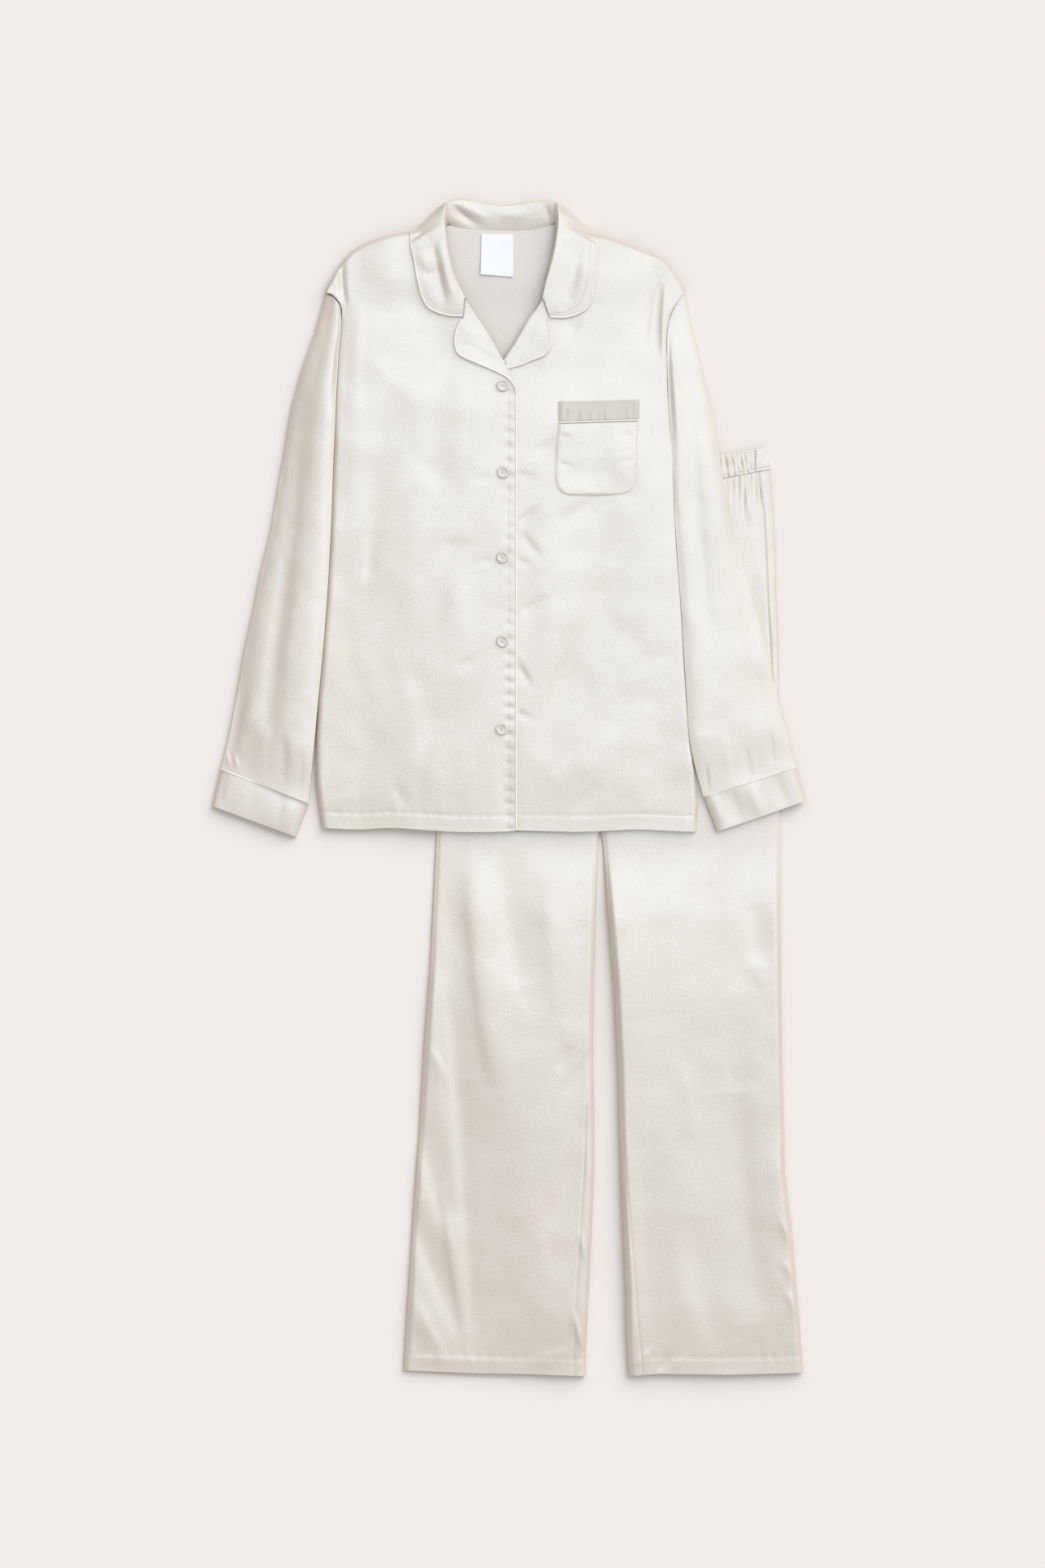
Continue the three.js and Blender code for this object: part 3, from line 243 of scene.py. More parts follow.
SLEEVE_RIGHT = {
    "cap": 3.0,
    "seam": 385,
    "crown": [1.0, 3.0, 4.4, 5.6, 6.8, 8.1, 9.2, 9.9, 10.2, 9.8, 8.4],
    "outer": table(XY, [
        (-183.6, 499), (-192, 467), (-206, 426), (-217, 385), (-224, 344), (-231, 303), (-238, 262),
        (-248, 221), (-256, 180), (-265, 139), (-272, 98), (-280, 57), (-288.2, 23.4),
    ]),
    "inner": table(XY, [
        (-168.7, 487.2), (-167.5, 472), (-170, 440), (-172, 405), (-173.5, 370), (-175.5, 330),
        (-177, 285), (-179, 240), (-182, 190), (-186, 140), (-190, 98), (-195, 45), (-200.3, -11.6),
    ]),
}
SLEEVE_LEFT = {
    "cap": 0.0,
    "seam": 330,
    "crown": [3.4, 4.4, 5.0, 5.4, 5.8, 6.1, 6.3, 6.5, 6.5, 6.1, 4.9],
    "outer": table(XY, [
        (177.5, 501.6), (184, 467), (193, 434), (202, 390), (209, 350), (216, 310), (223, 270),
        (236, 224), (248, 180), (259, 140), (268, 100), (278, 62), (288.2, 25.2),
    ]),
    "inner": table(XY, [
        (167.6, 487.6), (163.2, 479), (160.0, 466), (159.2, 440), (160.0, 405), (162.3, 365), (164.9, 325),
        (166.5, 280), (169.4, 235), (172.6, 190), (175.4, 145), (178.2, 100), (182.6, 45), (195.3, -4.7),
    ]),
}


def joined(*tables):
    """Tables end to end, without the points that they share."""
    out = {}
    for name in XY:
        out[name] = np.concatenate([t[name] if i == 0 else t[name][1:] for i, t in enumerate(tables)])
    return out


def cut(bottom, top, left, right):
    """A four-sided cut of cloth: a function from two places, across and up, to points."""
    b, t, l, r = flow(bottom), flow(top), flow(left), flow(right)

    def at(us, vs):
        u = us[None, :, None]
        v = vs[:, None, None]
        pb, pt, pl, pr = b(us)[None], t(us)[None], l(vs)[:, None], r(vs)[:, None]
        c00, c10, c01, c11 = pb[0, 0], pb[0, -1], pt[0, 0], pt[0, -1]
        return (
            pb * (1 - v) + pt * v + pl * (1 - u) + pr * u
            - c00 * (1 - u) * (1 - v) - c10 * u * (1 - v) - c01 * (1 - u) * v - c11 * u * v
        )

    return at


# %% [markdown]
# The trousers lie under the shirt with both legs a little apart. A front leg is narrower than the
# leg as it lies: the back leg comes round both folds, by the width in the strip tables.

# %% Outlines of the trousers
WIDTH_Y = ["x", "y"]
RIGHT_LEG = {
    "outer": table(XY, [
        (-105, -580), (-101, -517), (-96, -435), (-90, -353), (-84, -255), (-79, -189), (-75, -107),
        (-72, -41), (-74, 98), (-73, 221), (-68, 318),
    ]),
    "outer_strip": table(WIDTH_Y, [(2.5, -580), (2.5, 318)]),
    "inner": table(XY, [
        (78, -584), (78, -558), (80, -517), (82, -476), (84, -435), (86, -380), (86, -312), (85, -271),
        (86, -189), (88, -107), (90, -41), (91.3, -34), (95.5, 306),
    ]),
    "inner_strip": table(WIDTH_Y, [
        (12.5, -584), (13, -517), (12, -435), (10.5, -380), (8, -312), (4, -271), (2.5, -189),
        (2.5, 306),
    ]),
    "hem": table(XY, [(-105, -580), (-30, -583), (20, -583.5), (80, -585.5)]),
}
LEFT_LEG = {
    "outer": table(XY, [
        (296, -582), (291, -517), (284, -435), (278, -386), (275, -271), (274, -189), (273, -107),
        (273, -41), (272, 57), (271, 139), (269, 188), (268, 229), (266, 270), (262.5, 318),
    ]),
    "outer_strip": table(WIDTH_Y, [
        (2.5, -582), (2.5, 0), (8.5, 142), (9.5, 221), (10, 270), (12.5, 318),
    ]),
    "inner": table(XY, [
        (121, -586), (119, -558), (118, -500), (115, -435), (113.5, -394), (111.5, -336), (110, -271),
        (106, -189), (99, -107), (95, -49), (92.6, -34), (96.8, 306),
    ]),
    "inner_strip": table(WIDTH_Y, [
        (13.5, -586), (13.5, -558), (10, -517), (8, -450), (5.5, -394), (3, -336), (2.5, -271),
        (2.5, 306),
    ]),
    "hem": table(XY, [(119, -585.5), (150, -583), (220, -584), (297, -582)]),
}
WAIST_LINE = table(XY, [
    (-70, 323), (-20, 314), (40, 308), (97, 306), (150, 308), (200, 312), (216, 315), (236, 318.5),
    (248, 321), (264, 323.5),
])
WAIST_DEPTH = 23
SHIRT_HEM_Y = -38
TROUSER_HEM_Y = -584

# %% [markdown]
# What makes flat satin read as satin is its folds. Each is placed where it lies on the real
# garment: a start, a middle and an end, a width and a rise. Long shallow troughs give the broad dark
# and light fields, and short narrow ones give the tension marks beside seams and buttons.

# %% Folds, placed one by one
BODY_FOLDS = table(FOLD, [
    (8, 45, 66, 129, 100, 230, 21, -2.3),
    (50, 20, 74, 30, 96, 50, 16, 0.6),
    (60, -20, 80, -4, 92, 8, 9, -0.7),
    (150, -20, 150, 60, 146, 130, 24, -1.1),
    (112, 250, 116, 330, 120, 470, 22, 0.8),
    (47, 270, 70, 280, 92, 296, 9, -0.9),
    (12, 336, 30, 342, 48, 353, 7, -0.9),
    (-80, -22, -76, 14, -70, 60, 12, 0.9),
    (-150, 270, -150, 390, -146, 516, 23, 1.1),
    (-140, 213, -138, 238, -135, 264, 9, -0.8),
    (-62, 303, -78, 322, -97, 346, 12, -0.7),
    (-68, 247, -44, 247, -18, 244, 9, -0.6),
    (-40, 330, -36, 385, -34, 450, 10, -0.6),
    (-51, 125, -34, 134, -17, 145, 6, -1.0),
    (-40, 22, -28, 42, -14, 62, 7, -0.9),
    (-104, -18, -108, -6, -114, 6, 6, -1.0),
    (-176, -20, -166, -8, -150, -2, 9, 0.8),
    (-130, 90, -146, 140, -150, 200, 15, 0.8),
    (-84, 60, -92, 110, -110, 160, 14, -0.7),
    (-60, 150, -56, 190, -46, 225, 12, 0.7),
    (71, 474, 66, 466, 62, 456, 6, -0.7),
    (-166, 536, -167, 512, -163, 486, 5, -1.6),
    (-171, 530, -172, 516, -170, 502, 4, 1.2),
    (144, 440, 146, 480, 151, 512, 6, -1.3),
    (155, 430, 155, 470, 157, 512, 4, 0.9),
    (-150, 500, -152, 440, -154, 380, 9, 0.6),
    (30, 420, 44, 440, 60, 470, 10, 0.6),
])
PLACKET_DENTS = table(FOLD, [
    (-3, -26, -4, 14, 0, 54, 8, -1.2),
    (10, 270, 18, 276, 27, 285, 3.6, -1.1),
    (14, 258, 22, 248, 32, 236, 5.0, -0.9),
    (14, 180, 26, 187, 40, 198, 6.0, -0.8),
    (9, 129, 15, 119, 22, 108, 4.6, -1.0),
    (9, 318, 14, 318, 24, 316, 3.2, -0.7),
    (9, 232, 14, 231, 22, 228, 3.4, -0.6),
    (9, 80, 14, 78, 24, 74, 4.0, -0.6),
    (-22, 408, -15, 407, -12, 407, 2.6, -0.5),
    (-18, 316, -24, 314, -34, 311, 4.0, -0.5),
    (-18, 232, -24, 230, -36, 226, 4.0, -0.5),
])
SLEEVE_RIGHT_FOLDS = table(FOLD, [
    (-208, 390, -218, 240, -228, 140, 9, -0.5),
    (-225, 225, -233, 139, -239, 50, 12, -1.2),
    (-226, 260, -244, 150, -254, 50, 10, 0.8),
    (-262, 110, -272, 66, -278, 30, 8, -1.2),
    (-283, 40, -281, 33, -280, 27, 2.4, 0.8),
    (-275, 38, -273, 31, -271, 24, 2.4, 0.8),
    (-226, 60, -225, 35, -226, 8, 6, -0.8),
    (-243, 70, -246, 40, -248, 14, 7, 0.6),
    (-207, 40, -208, 15, -210, -4, 4, -0.5),
])
SLEEVE_LEFT_FOLDS = table(FOLD, [
    (180, 470, 188, 300, 204, 120, 10, -0.8),
    (196, 400, 214, 250, 236, 120, 12, 0.8),
    (230, 210, 246, 130, 258, 60, 9, -0.7),
    (198, 30, 199, 14, 200, 2, 3, -0.7),
    (238, 44, 240, 30, 242, 14, 3.4, -0.9),
    (262, 60, 264, 44, 266, 28, 3.4, -0.8),
    (216, 60, 220, 30, 222, 6, 5, 0.6),
])
LEG_FOLDS = table(FOLD, [
    (-34, -566, -48, -353, -62, -180, 9, -1.2),
    (-40, -560, -55, -476, -66, -400, 7, 1.0),
    (-8, -300, -30, -190, -40, -30, 12, 1.3),
    (-61, -435, -78, -376, -95, -305, 14, -2.2),
    (-46, -547, -76, -476, -100, -412, 15, -2.4),
    (-76, -175, -76, -230, -66, -335, 7, 0.5),
    (-79, -256, -71, -270, -62, -290, 5, 0.7),
    (-95, -505, -80, -540, -60, -572, 9, 1.3),
    (14, -200, -2, -107, -9, -30, 16, -2.0),
    (52, -230, 43, -130, 36, -36, 18, 1.5),
    (46, -278, 53, -268, 60, -252, 8, -1.1),
    (56, -305, 70, -280, 80, -262, 6, -0.8),
    (40, -440, 62, -380, 80, -325, 12, -1.8),
    (20, -572, 40, -566, 62, -560, 8, 1.1),
    (66, -522, 71, -543, 77, -562, 3.4, 1.5),
    (72, -440, 75, -455, 78, -470, 3.2, 0.8),
    (108, -232, 104, -140, 99, -48, 26, 2.5),
    (198, -118, 200, -82, 203, -38, 10, -0.9),
    (246, -172, 250, -142, 244, -112, 13, -1.7),
    (256, -196, 250, -182, 240, -170, 10, 0.6),
    (226, -296, 236, -420, 251, -535, 24, -2.7),
    (229, -303, 227, -262, 228, -222, 15, -1.0),
    (268, -350, 272, -402, 279, -460, 9, 1.2),
    (274, -428, 279, -440, 285, -452, 4, 1.1),
    (276, -470, 281, -478, 288, -488, 4, 1.0),
    (279, -500, 284, -510, 290, -524, 4, 0.8),
    (177, -285, 181, -316, 186, -348, 9, 0.6),
    (214, -560, 196, -500, 190, -420, 20, -2.0),
    (150, -560, 140, -470, 138, -360, 18, -1.4),
    (126, -574, 134, -566, 142, -560, 5, 1.5),
    (150, -578, 156, -572, 160, -564, 3, -1.1),
    (166, -578, 170, -572, 175, -566, 3, 1.0),
    (-100, -566, -60, -568, 0, -572, 6, 0.8),
    (227, 322, 236, 291, 238, 262, 5, -0.6),
    (217, 312, 219, 304, 222, 296, 3.0, -0.4),
    (222, 312, 226, 301, 231, 290, 3.2, -0.5),
    (244, 322, 245, 310, 245, 298, 2.6, -0.6),
    (234, 318, 240, 296, 247, 262, 4.0, 0.5),
])
# Beyond its line a shelf of cloth climbs over a width and then stays up
SHELF = ["x0", "y0", "xm", "ym", "x1", "y1", "width0", "width1", "rise0", "rise1"]
LEG_SHELVES = table(SHELF, [
    (-30, -602, -50, -353, -66, -70, 96, 34, 5.6, 3.6),
    (232, -300, 228, -150, 224, -10, 60, 60, 0.6, 2.6),
])
print("folds:", sum(len(t["x0"]) for t in (BODY_FOLDS, SLEEVE_RIGHT_FOLDS, SLEEVE_LEFT_FOLDS, LEG_FOLDS)))

# %% [markdown]
# The shirt lies partly on the floor, partly on the trousers and, behind the neck, on its own collar,
# which is folded under. `bed` is the height of what carries it. The cloth comes down from the
# trousers in a slope, as a stiff light fabric does, because it can't follow a sharp step.

# %% What the shirt lies on
BUTTON_X = -5.5
NECK_X = -6
COLLAR_LIFT = 2.7
LEGS_UNDER_SHIRT = 2 * LAYER


def waist_top(x):
    return level_at(WAIST_LINE, x) + WAIST_DEPTH


def bed(x, y):
    above = waist_top(x) + 18 - y
    inside = np.minimum(np.minimum(x - edge_at(RIGHT_LEG["outer"], y), edge_at(LEFT_LEG["outer"], y) - x), above)
    on_trousers = smooth((inside + 16 + 62) / 62)
    on_collar = smooth((y - 478) / 44) * smooth((152 - np.abs(x - NECK_X)) / 40)
    return LEGS_UNDER_SHIRT * on_trousers + COLLAR_LIFT * on_collar


# %% [markdown]
# Two layers of satin trap a little air between them. It is least at the seams and under the placket,
# and the stuffed look of the edge comes from `swell`, which leaves the seam almost upright.

# %% Air inside the shirt and the legs
BODY_LOFT = 5.0
PLACKET_LOFT = 4.3
NECK_LOFT = 4.4
LEG_LOFT = 3.4
SEAM_AIR = 0.5


def shoulder_y(x):
    return np.where(x < 0, level_at(SHOULDER_RIGHT, x), level_at(SHOULDER_LEFT, x))


def at_armhole(y):
    """1 beside the armhole seam, where sleeve and body are held at one height, and 0 under the arm."""
    return smooth((y - 330) / 60)


def body_air(x, y):
    from_side = np.minimum(x - edge_at(SIDE_RIGHT, y), edge_at(SIDE_LEFT, y) - x)
    from_shoulder = (shoulder_y(x) - y) * 0.8
    beside_sleeve = smooth((y + 20) / 60)
    rim = mix(swell((from_side + 0.3) / 6), 1, mix(np.where(x > 0, 0.9, 0.5), 0.85, at_armhole(y)) * beside_sleeve)
    rim = np.minimum(rim, swell((from_shoulder + 0.3) / 5))
    neck = smooth((y - 380) / 110) * smooth((125 - np.abs(x - NECK_X)) / 60)
    from_placket = smooth((np.abs(x - BUTTON_X) - 14) / 34)
    plain = mix(BODY_LOFT, NECK_LOFT, neck)
    level = mix(PLACKET_LOFT, NECK_LOFT, neck)
    loose = plain + folded(BODY_FOLDS, x, y) + 0.55 * waves(x, y, 46, 1) + 0.3 * waves(x, y, 21, 2)
    hemward = mix(0.62, 1, smooth((y - SHIRT_HEM_Y) / 70))
    dents = folded(PLACKET_DENTS, x, y)
    return SEAM_AIR + np.maximum(rim * hemward * mix(level, loose, from_placket) + rim * dents, 0.0)


def overlap_lift(x):
    return LAYER * 1.15 * smooth((x + 78) / 60)


def lower_front(x, y):
    """Height of the upper side of the left front, which lies underneath."""
    return bed(x, y) + LAYER + body_air(x, y) + WALL


def upper_front(x, y):
    return lower_front(x, y) + overlap_lift(x)


def from_fold(x, y):
    right = np.minimum(x - edge_at(RIGHT_LEG["outer"], y), edge_at(RIGHT_LEG["inner"], y) - x)
    left = np.minimum(edge_at(LEFT_LEG["outer"], y) - x, x - edge_at(LEFT_LEG["inner"], y))
    return np.maximum(right, left)


def leg_air(x, y):
    below_shirt = smooth((SHIRT_HEM_Y + 20 - y) / 220)
    beside_sleeve = smooth((x - edge_at(SLEEVE_LEFT["outer"], y) + 5) / 24) * smooth((y - 60) / 60)
    shown = np.maximum(below_shirt, 0.45 * beside_sleeve)
    rim = swell((from_fold(x, y) + 0.4) / 7.5)
    relief = folded(LEG_FOLDS, x, y) + shelved(LEG_SHELVES, x, y) + 0.5 * waves(x, y, 52, 3) + 0.25 * waves(x, y, 22, 4)
    hemward = mix(0.6, 1, smooth((y - TROUSER_HEM_Y) / 70))
    near = np.maximum(smooth((SHIRT_HEM_Y - 4 - y) / 90), beside_sleeve)
    loose = LEG_LOFT * shown * mix(0.25, 1, shown) + near * relief
    return hemward * rim * 0.5 * (loose + np.hypot(loose, 0.8 * near))


def leg_top(x, y):
    """The upper side of a leg. Two layers of satin are thin at the folds, and spring apart inwards."""
    return (LAYER + WALL) * mix(0.5, 1, swell((from_fold(x, y) + 0.4) / 8)) + leg_air(x, y)


# %% [markdown]
# A sheet of points becomes a mesh of quads. The points go in through `from_pydata` and the smooth
# shading flags through `foreach_set`, which takes a second where a loop over a cloth of tens of
# thousands of points would take a minute. Solidify then gives the cloth its thin edge, and smooth
# shading hides the quads.

# %% From points to cloth
SHOW = bpy.data.collections.new("pyjama_set")
bpy.context.scene.collection.children.link(SHOW)
pieces = {}


def to_frame(points):
    """Sheet millimetres to frame metres."""
    p = np.array(points, float)
    p[..., 0] -= SHEET_MIDDLE[0]
    p[..., 1] -= SHEET_MIDDLE[1]
    return p / 1000.0


def mesh_object(name, points, quads, material, smooth_angle=50):
    """An object from points on the sheet, and faces of three or four corners."""
    mesh = bpy.data.meshes.new(name)
    mesh.from_pydata(to_frame(points).tolist(), [], [list(q) for q in quads])
    mesh.validate()
    mesh.materials.append(material)
    mesh.polygons.foreach_set("use_smooth", [True] * len(mesh.polygons))
    mesh.set_sharp_from_angle(angle=math.radians(smooth_angle))
    piece = bpy.data.objects.new(name, mesh)
    SHOW.objects.link(piece)
    pieces[name] = piece
    return piece


def grid_quads(rows, columns, wrap=False):
    i, j = np.meshgrid(np.arange(rows - 1), np.arange(columns - (0 if wrap else 1)), indexing="ij")
    k = (j + 1) % columns
    faces = np.stack([i * columns + j, i * columns + k, (i + 1) * columns + k, (i + 1) * columns + j], -1)
    return faces.reshape(-1, 4)


def apply_modifiers(piece):
    """The shape with its modifiers becomes the mesh itself, its cut edges crisp."""
    graph = bpy.context.evaluated_depsgraph_get()
    done = bpy.data.meshes.new_from_object(piece.evaluated_get(graph))
    done.set_sharp_from_angle(angle=math.radians(50))
    piece.modifiers.clear()
    old = piece.data
    piece.data = done
    bpy.data.meshes.remove(old)


def cloth(name, points, material, thickness=CLOTH, wrap=False, replaces=()):
    """A thin cloth whose upper side goes through a grid of points, rows by columns by xyz."""
    rows, columns = points.shape[:2]
    faces = grid_quads(rows, columns, wrap)
    a, b, c = (points.reshape(-1, 3)[faces[len(faces) // 2, k]] for k in (0, 1, 3))
    if not wrap and np.cross(b - a, c - a)[2] < 0:
        faces = faces[:, ::-1]
    piece = mesh_object(name, points.reshape(-1, 3), faces.tolist(), material)
    if thickness:
        solidify = piece.modifiers.new("cloth", "SOLIDIFY")
        solidify.thickness = thickness / 1000
        solidify.offset = -1
        solidify.use_even_offset = False
        apply_modifiers(piece)
    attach(piece, "root")
    if replaces:
        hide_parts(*replaces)
    return piece


def flat_size(points, wrap=False):
    """Flat width, length and area of a grid of cloth, in metres."""
    p = to_frame(points)
    if wrap:
        p = np.concatenate([p, p[:, :1]], axis=1)
    across = np.linalg.norm(np.diff(p, axis=1), axis=2).sum(axis=1).max()
    along = np.linalg.norm(np.diff(p, axis=0), axis=2).sum(axis=0).max()
    one = np.linalg.norm(np.cross(p[1:, 1:] - p[:-1, :-1], p[1:, :-1] - p[:-1, 1:]), axis=2) / 2
    return float(across), float(along), float(one.sum())


def declare(piece, points, wrap=False):
    """Prints the flat width, length and area of a laid sheet of cloth."""
    width, length, area = flat_size(points, wrap)
    area = min(area, width * length * 0.999)
    print(f"{piece.name}: {1000 * width:.0f} x {1000 * length:.0f} mm, {area:.3f} m2")


# %% [markdown]
# Satin is a plain ivory cloth whose long floats of yarn lie side by side, so it gleams in soft broad
# fields and shows a very fine grain close up. The gloss comes from a middling roughness, the grain
# from two small noises in the bump, one of them stretched along the yarn, and a slight unevenness of
# the roughness breaks up the highlights as real yarn does.

# %% Satin and the other finishes
def new_material(name):
    material = bpy.data.materials.new(name)
    material.use_nodes = True
    return material, material.node_tree.nodes, material.node_tree.links, material.node_tree.nodes["Principled BSDF"]


def noise_at(nodes, links, stretch, scale, detail=2.0):
    """A noise over the object's own coordinates, stretched along its axes."""
    place = nodes.new("ShaderNodeTexCoord")
    turn = nodes.new("ShaderNodeMapping")
    turn.inputs["Scale"].default_value = stretch
    noise = nodes.new("ShaderNodeTexNoise")
    noise.inputs["Scale"].default_value = scale
    noise.inputs["Detail"].default_value = detail
    links.new(place.outputs["Object"], turn.inputs["Vector"])
    links.new(turn.outputs["Vector"], noise.inputs["Vector"])
    return noise


def ramp(nodes, links, source, low, high, span=(0.3, 0.7)):
    node = nodes.new("ShaderNodeMapRange")
    node.inputs["From Min"].default_value = span[0]
    node.inputs["From Max"].default_value = span[1]
    node.inputs["To Min"].default_value = low
    node.inputs["To Max"].default_value = high
    links.new(source, node.inputs["Value"])
    return node


def satin(name, colour, roughness=0.47, grain=0.17, gleam=0.28):
    material, nodes, links, shader = new_material(name)
    shader.inputs["Metallic"].default_value = gleam
    shader.inputs["Specular IOR Level"].default_value = 0.35
    yarn = noise_at(nodes, links, (1.0, 0.35, 1.0), 900, 3.0)
    fleck = noise_at(nodes, links, (1.0, 1.0, 1.0), 420, 2.0)
    cloud = noise_at(nodes, links, (1.0, 1.0, 1.0), 26, 2.0)
    tint = nodes.new("ShaderNodeMix")
    tint.data_type = "RGBA"
    tint.inputs[6].default_value = (*[c * 0.965 for c in colour], 1)
    tint.inputs[7].default_value = (*colour, 1)
    links.new(ramp(nodes, links, fleck.outputs["Fac"], 0.0, 1.0).outputs["Result"], tint.inputs[0])
    links.new(tint.outputs[2], shader.inputs["Base Color"])
    rough = ramp(nodes, links, cloud.outputs["Fac"], roughness - 0.03, roughness + 0.03)
    links.new(rough.outputs["Result"], shader.inputs["Roughness"])
    fine = nodes.new("ShaderNodeBump")
    fine.inputs["Strength"].default_value = grain
    fine.inputs["Distance"].default_value = 0.0006
    links.new(yarn.outputs["Fac"], fine.inputs["Height"])
    coarse = nodes.new("ShaderNodeBump")
    coarse.inputs["Strength"].default_value = grain * 0.7
    coarse.inputs["Distance"].default_value = 0.0012
    links.new(fleck.outputs["Fac"], coarse.inputs["Height"])
    links.new(fine.outputs["Normal"], coarse.inputs["Normal"])
    links.new(coarse.outputs["Normal"], shader.inputs["Normal"])
    return material


IVORY = (0.685, 0.62, 0.54)
ivory_satin = satin("ivory_satin", IVORY)
matt_back = satin("satin_wrong_side", (0.77, 0.735, 0.69), roughness=0.7, grain=0.16, gleam=0.0)
# The piping is the same satin as the cloth; its lighter colour is a painted highlight along the cord.
cord_painted_highlight = satin("piping_painted_highlight_satin", (0.88, 0.83, 0.76), roughness=0.42, grain=0.06, gleam=0.2)
thread = satin("sewing_thread", (0.74, 0.71, 0.64), roughness=0.5, grain=0.2, gleam=0.1)


# %% [markdown]
# The buttons are cast to look like mother-of-pearl: milky, with faint cloudy bands and a hard clear
# gloss. The label is a narrow woven tape, whiter and cooler than the ivory satin, and it is blank.

# %% Pearl and label
def pearl():
    material, nodes, links, shader = new_material("pearl_button")
    cloud = noise_at(nodes, links, (1.0, 2.2, 1.0), 240, 3.0)
    tint = nodes.new("ShaderNodeMix")
    tint.data_type = "RGBA"
    tint.inputs[6].default_value = (0.60, 0.575, 0.51, 1)
    tint.inputs[7].default_value = (0.74, 0.715, 0.65, 1)
    links.new(ramp(nodes, links, cloud.outputs["Fac"], 0.0, 1.0).outputs["Result"], tint.inputs[0])
    links.new(tint.outputs[2], shader.inputs["Base Color"])
    shader.inputs["Roughness"].default_value = 0.2
    shader.inputs["Coat Weight"].default_value = 0.4
    shader.inputs["Coat Roughness"].default_value = 0.12
    return material


def label_tape():
    material, nodes, links, shader = new_material("woven_label")
    weave = noise_at(nodes, links, (1.0, 6.0, 1.0), 500, 2.0)
    tint = nodes.new("ShaderNodeMix")
    tint.data_type = "RGBA"
    tint.inputs[6].default_value = (0.83, 0.84, 0.88, 1)
    tint.inputs[7].default_value = (0.91, 0.92, 0.95, 1)
    links.new(ramp(nodes, links, weave.outputs["Fac"], 0.0, 1.0).outputs["Result"], tint.inputs[0])
    links.new(tint.outputs[2], shader.inputs["Base Color"])
    shader.inputs["Roughness"].default_value = 0.48
    bump = nodes.new("ShaderNodeBump")
    bump.inputs["Strength"].default_value = 0.2
    bump.inputs["Distance"].default_value = 0.0004
    links.new(weave.outputs["Fac"], bump.inputs["Height"])
    links.new(bump.outputs["Normal"], shader.inputs["Normal"])
    return material


pearl_button = pearl()
woven_label = label_tape()


# %% [markdown]
# A seam that joins two cuts pulls the cloth into small regular puckers. They are drawn as short
# dents across the stitch line, uneven in depth, and fade out within a few millimetres.

# %% Hems and puckers
def puckers(along, away, spacing, reach, depth, seed):
    """Depth of the puckers beside a stitch line, `away` millimetres from it."""
    beat = np.sin(2 * np.pi * along / spacing + 2.2 * waves(along, 0 * along, spacing * 2.3, seed))
    uneven = 0.55 + 0.45 * waves(along, 0 * along + 9, spacing * 3.1, seed + 1)
    return -depth * uneven * np.clip(beat, -0.3, 1) * np.exp(-((away / reach) ** 2))


def hem_band(y, hem_y, depth=16.0, step=0.2):
    """A turned-up hem is one layer thicker up to its stitch line, which pulls in a fine groove."""
    above = y - hem_y
    return step * smooth((depth - above) / 2.4) - 0.22 * np.exp(-(((above - depth) / 1.5) ** 2))


# %% [markdown]
# The back lies face down on the table. Only the inside of its neck shows between the lapels, matt
# and a little darker, so this piece gets the wrong side's finish and a coarser grid.

# %% Shirt back
back_cut = cut(
    joined({k: v[:-1] for k, v in HEM_UPPER.items()}, {k: v[1:] for k, v in HEM_LOWER.items()}),
    joined(SHOULDER_RIGHT, BACK_NECK, SHOULDER_LEFT), SIDE_RIGHT, SIDE_LEFT,
)
flat = back_cut(places(70, 0.5, 0.5), places(120, 0, 0.6))
x, y = flat[..., 0], flat[..., 1]
inside_neck = smooth((y - 420) / 60) * smooth((70 - np.abs(x - NECK_X)) / 30)
z = bed(x, y) + 0.6 + CLOTH + inside_neck * (0.5 * waves(x, y, 30, 5) + 0.3)
back = np.dstack([x, y, z])
declare(cloth("shirt_back_cloth", back, matt_back, replaces=["shirt_back"]), back)

# %% [markdown]
# The fronts carry most of the look. The right front laps over the left one and bears the placket:
# a stitched band along the edge whose thread draws the satin into small dents, deepest at each
# button. The left front shows the pocket and a long slack fold that runs down to the hem.

# %% Shirt fronts
PLACKET_STITCH_X = 0.2
BUTTON_Y = (407, 320, 235, 151, 63)


def front_relief(x, y, hem):
    hem_y = level_at(hem, x)
    low = hem_band(y, hem_y)
    pulled = puckers(x, y - hem_y - 16, 11, 5, 0.35, 11)
    return low + pulled


def right_front_top(x, y):
    relief = front_relief(x, y, HEM_UPPER)
    below_break = smooth((410 - y) / 10)
    groove = -0.14 * np.exp(-(((x - PLACKET_STITCH_X) / 1.4) ** 2)) * below_break
    dents = puckers(y, x - PLACKET_STITCH_X - 1, 13.7, 4.6, 0.85, 21) * below_break
    return upper_front(x, y) + relief + groove + dents


def left_front_top(x, y):
    relief = front_relief(x, y, HEM_LOWER)
    return lower_front(x, y) + relief * smooth((x - 9) / 5)


def side_wall(edge, reach):
    """The last strips of a front: a narrow brow over the side seam, then down to meet the back."""
    brow = edge.copy()
    brow[..., 0] += reach
    brow[..., 2] -= 0.5 * np.abs(reach)
    foot = brow.copy()
    foot[..., 2] = bed(foot[..., 0], foot[..., 1]) + 1.2
    return brow, foot


upper_cut = cut(HEM_UPPER, SHOULDER_RIGHT, SIDE_RIGHT, EDGE_UPPER)
flat = upper_cut(places(92, 0.6, 0.45), places(290, 0.2, 0.3))
right_front = np.dstack([flat[..., 0], flat[..., 1], right_front_top(flat[..., 0], flat[..., 1])])
brow, foot = side_wall(right_front[:, :1], -0.3)
right_front = np.concatenate([foot, brow, right_front], axis=1)
declare(cloth("front_right_cloth", right_front, ivory_satin, replaces=["shirt_front_right"]), right_front)

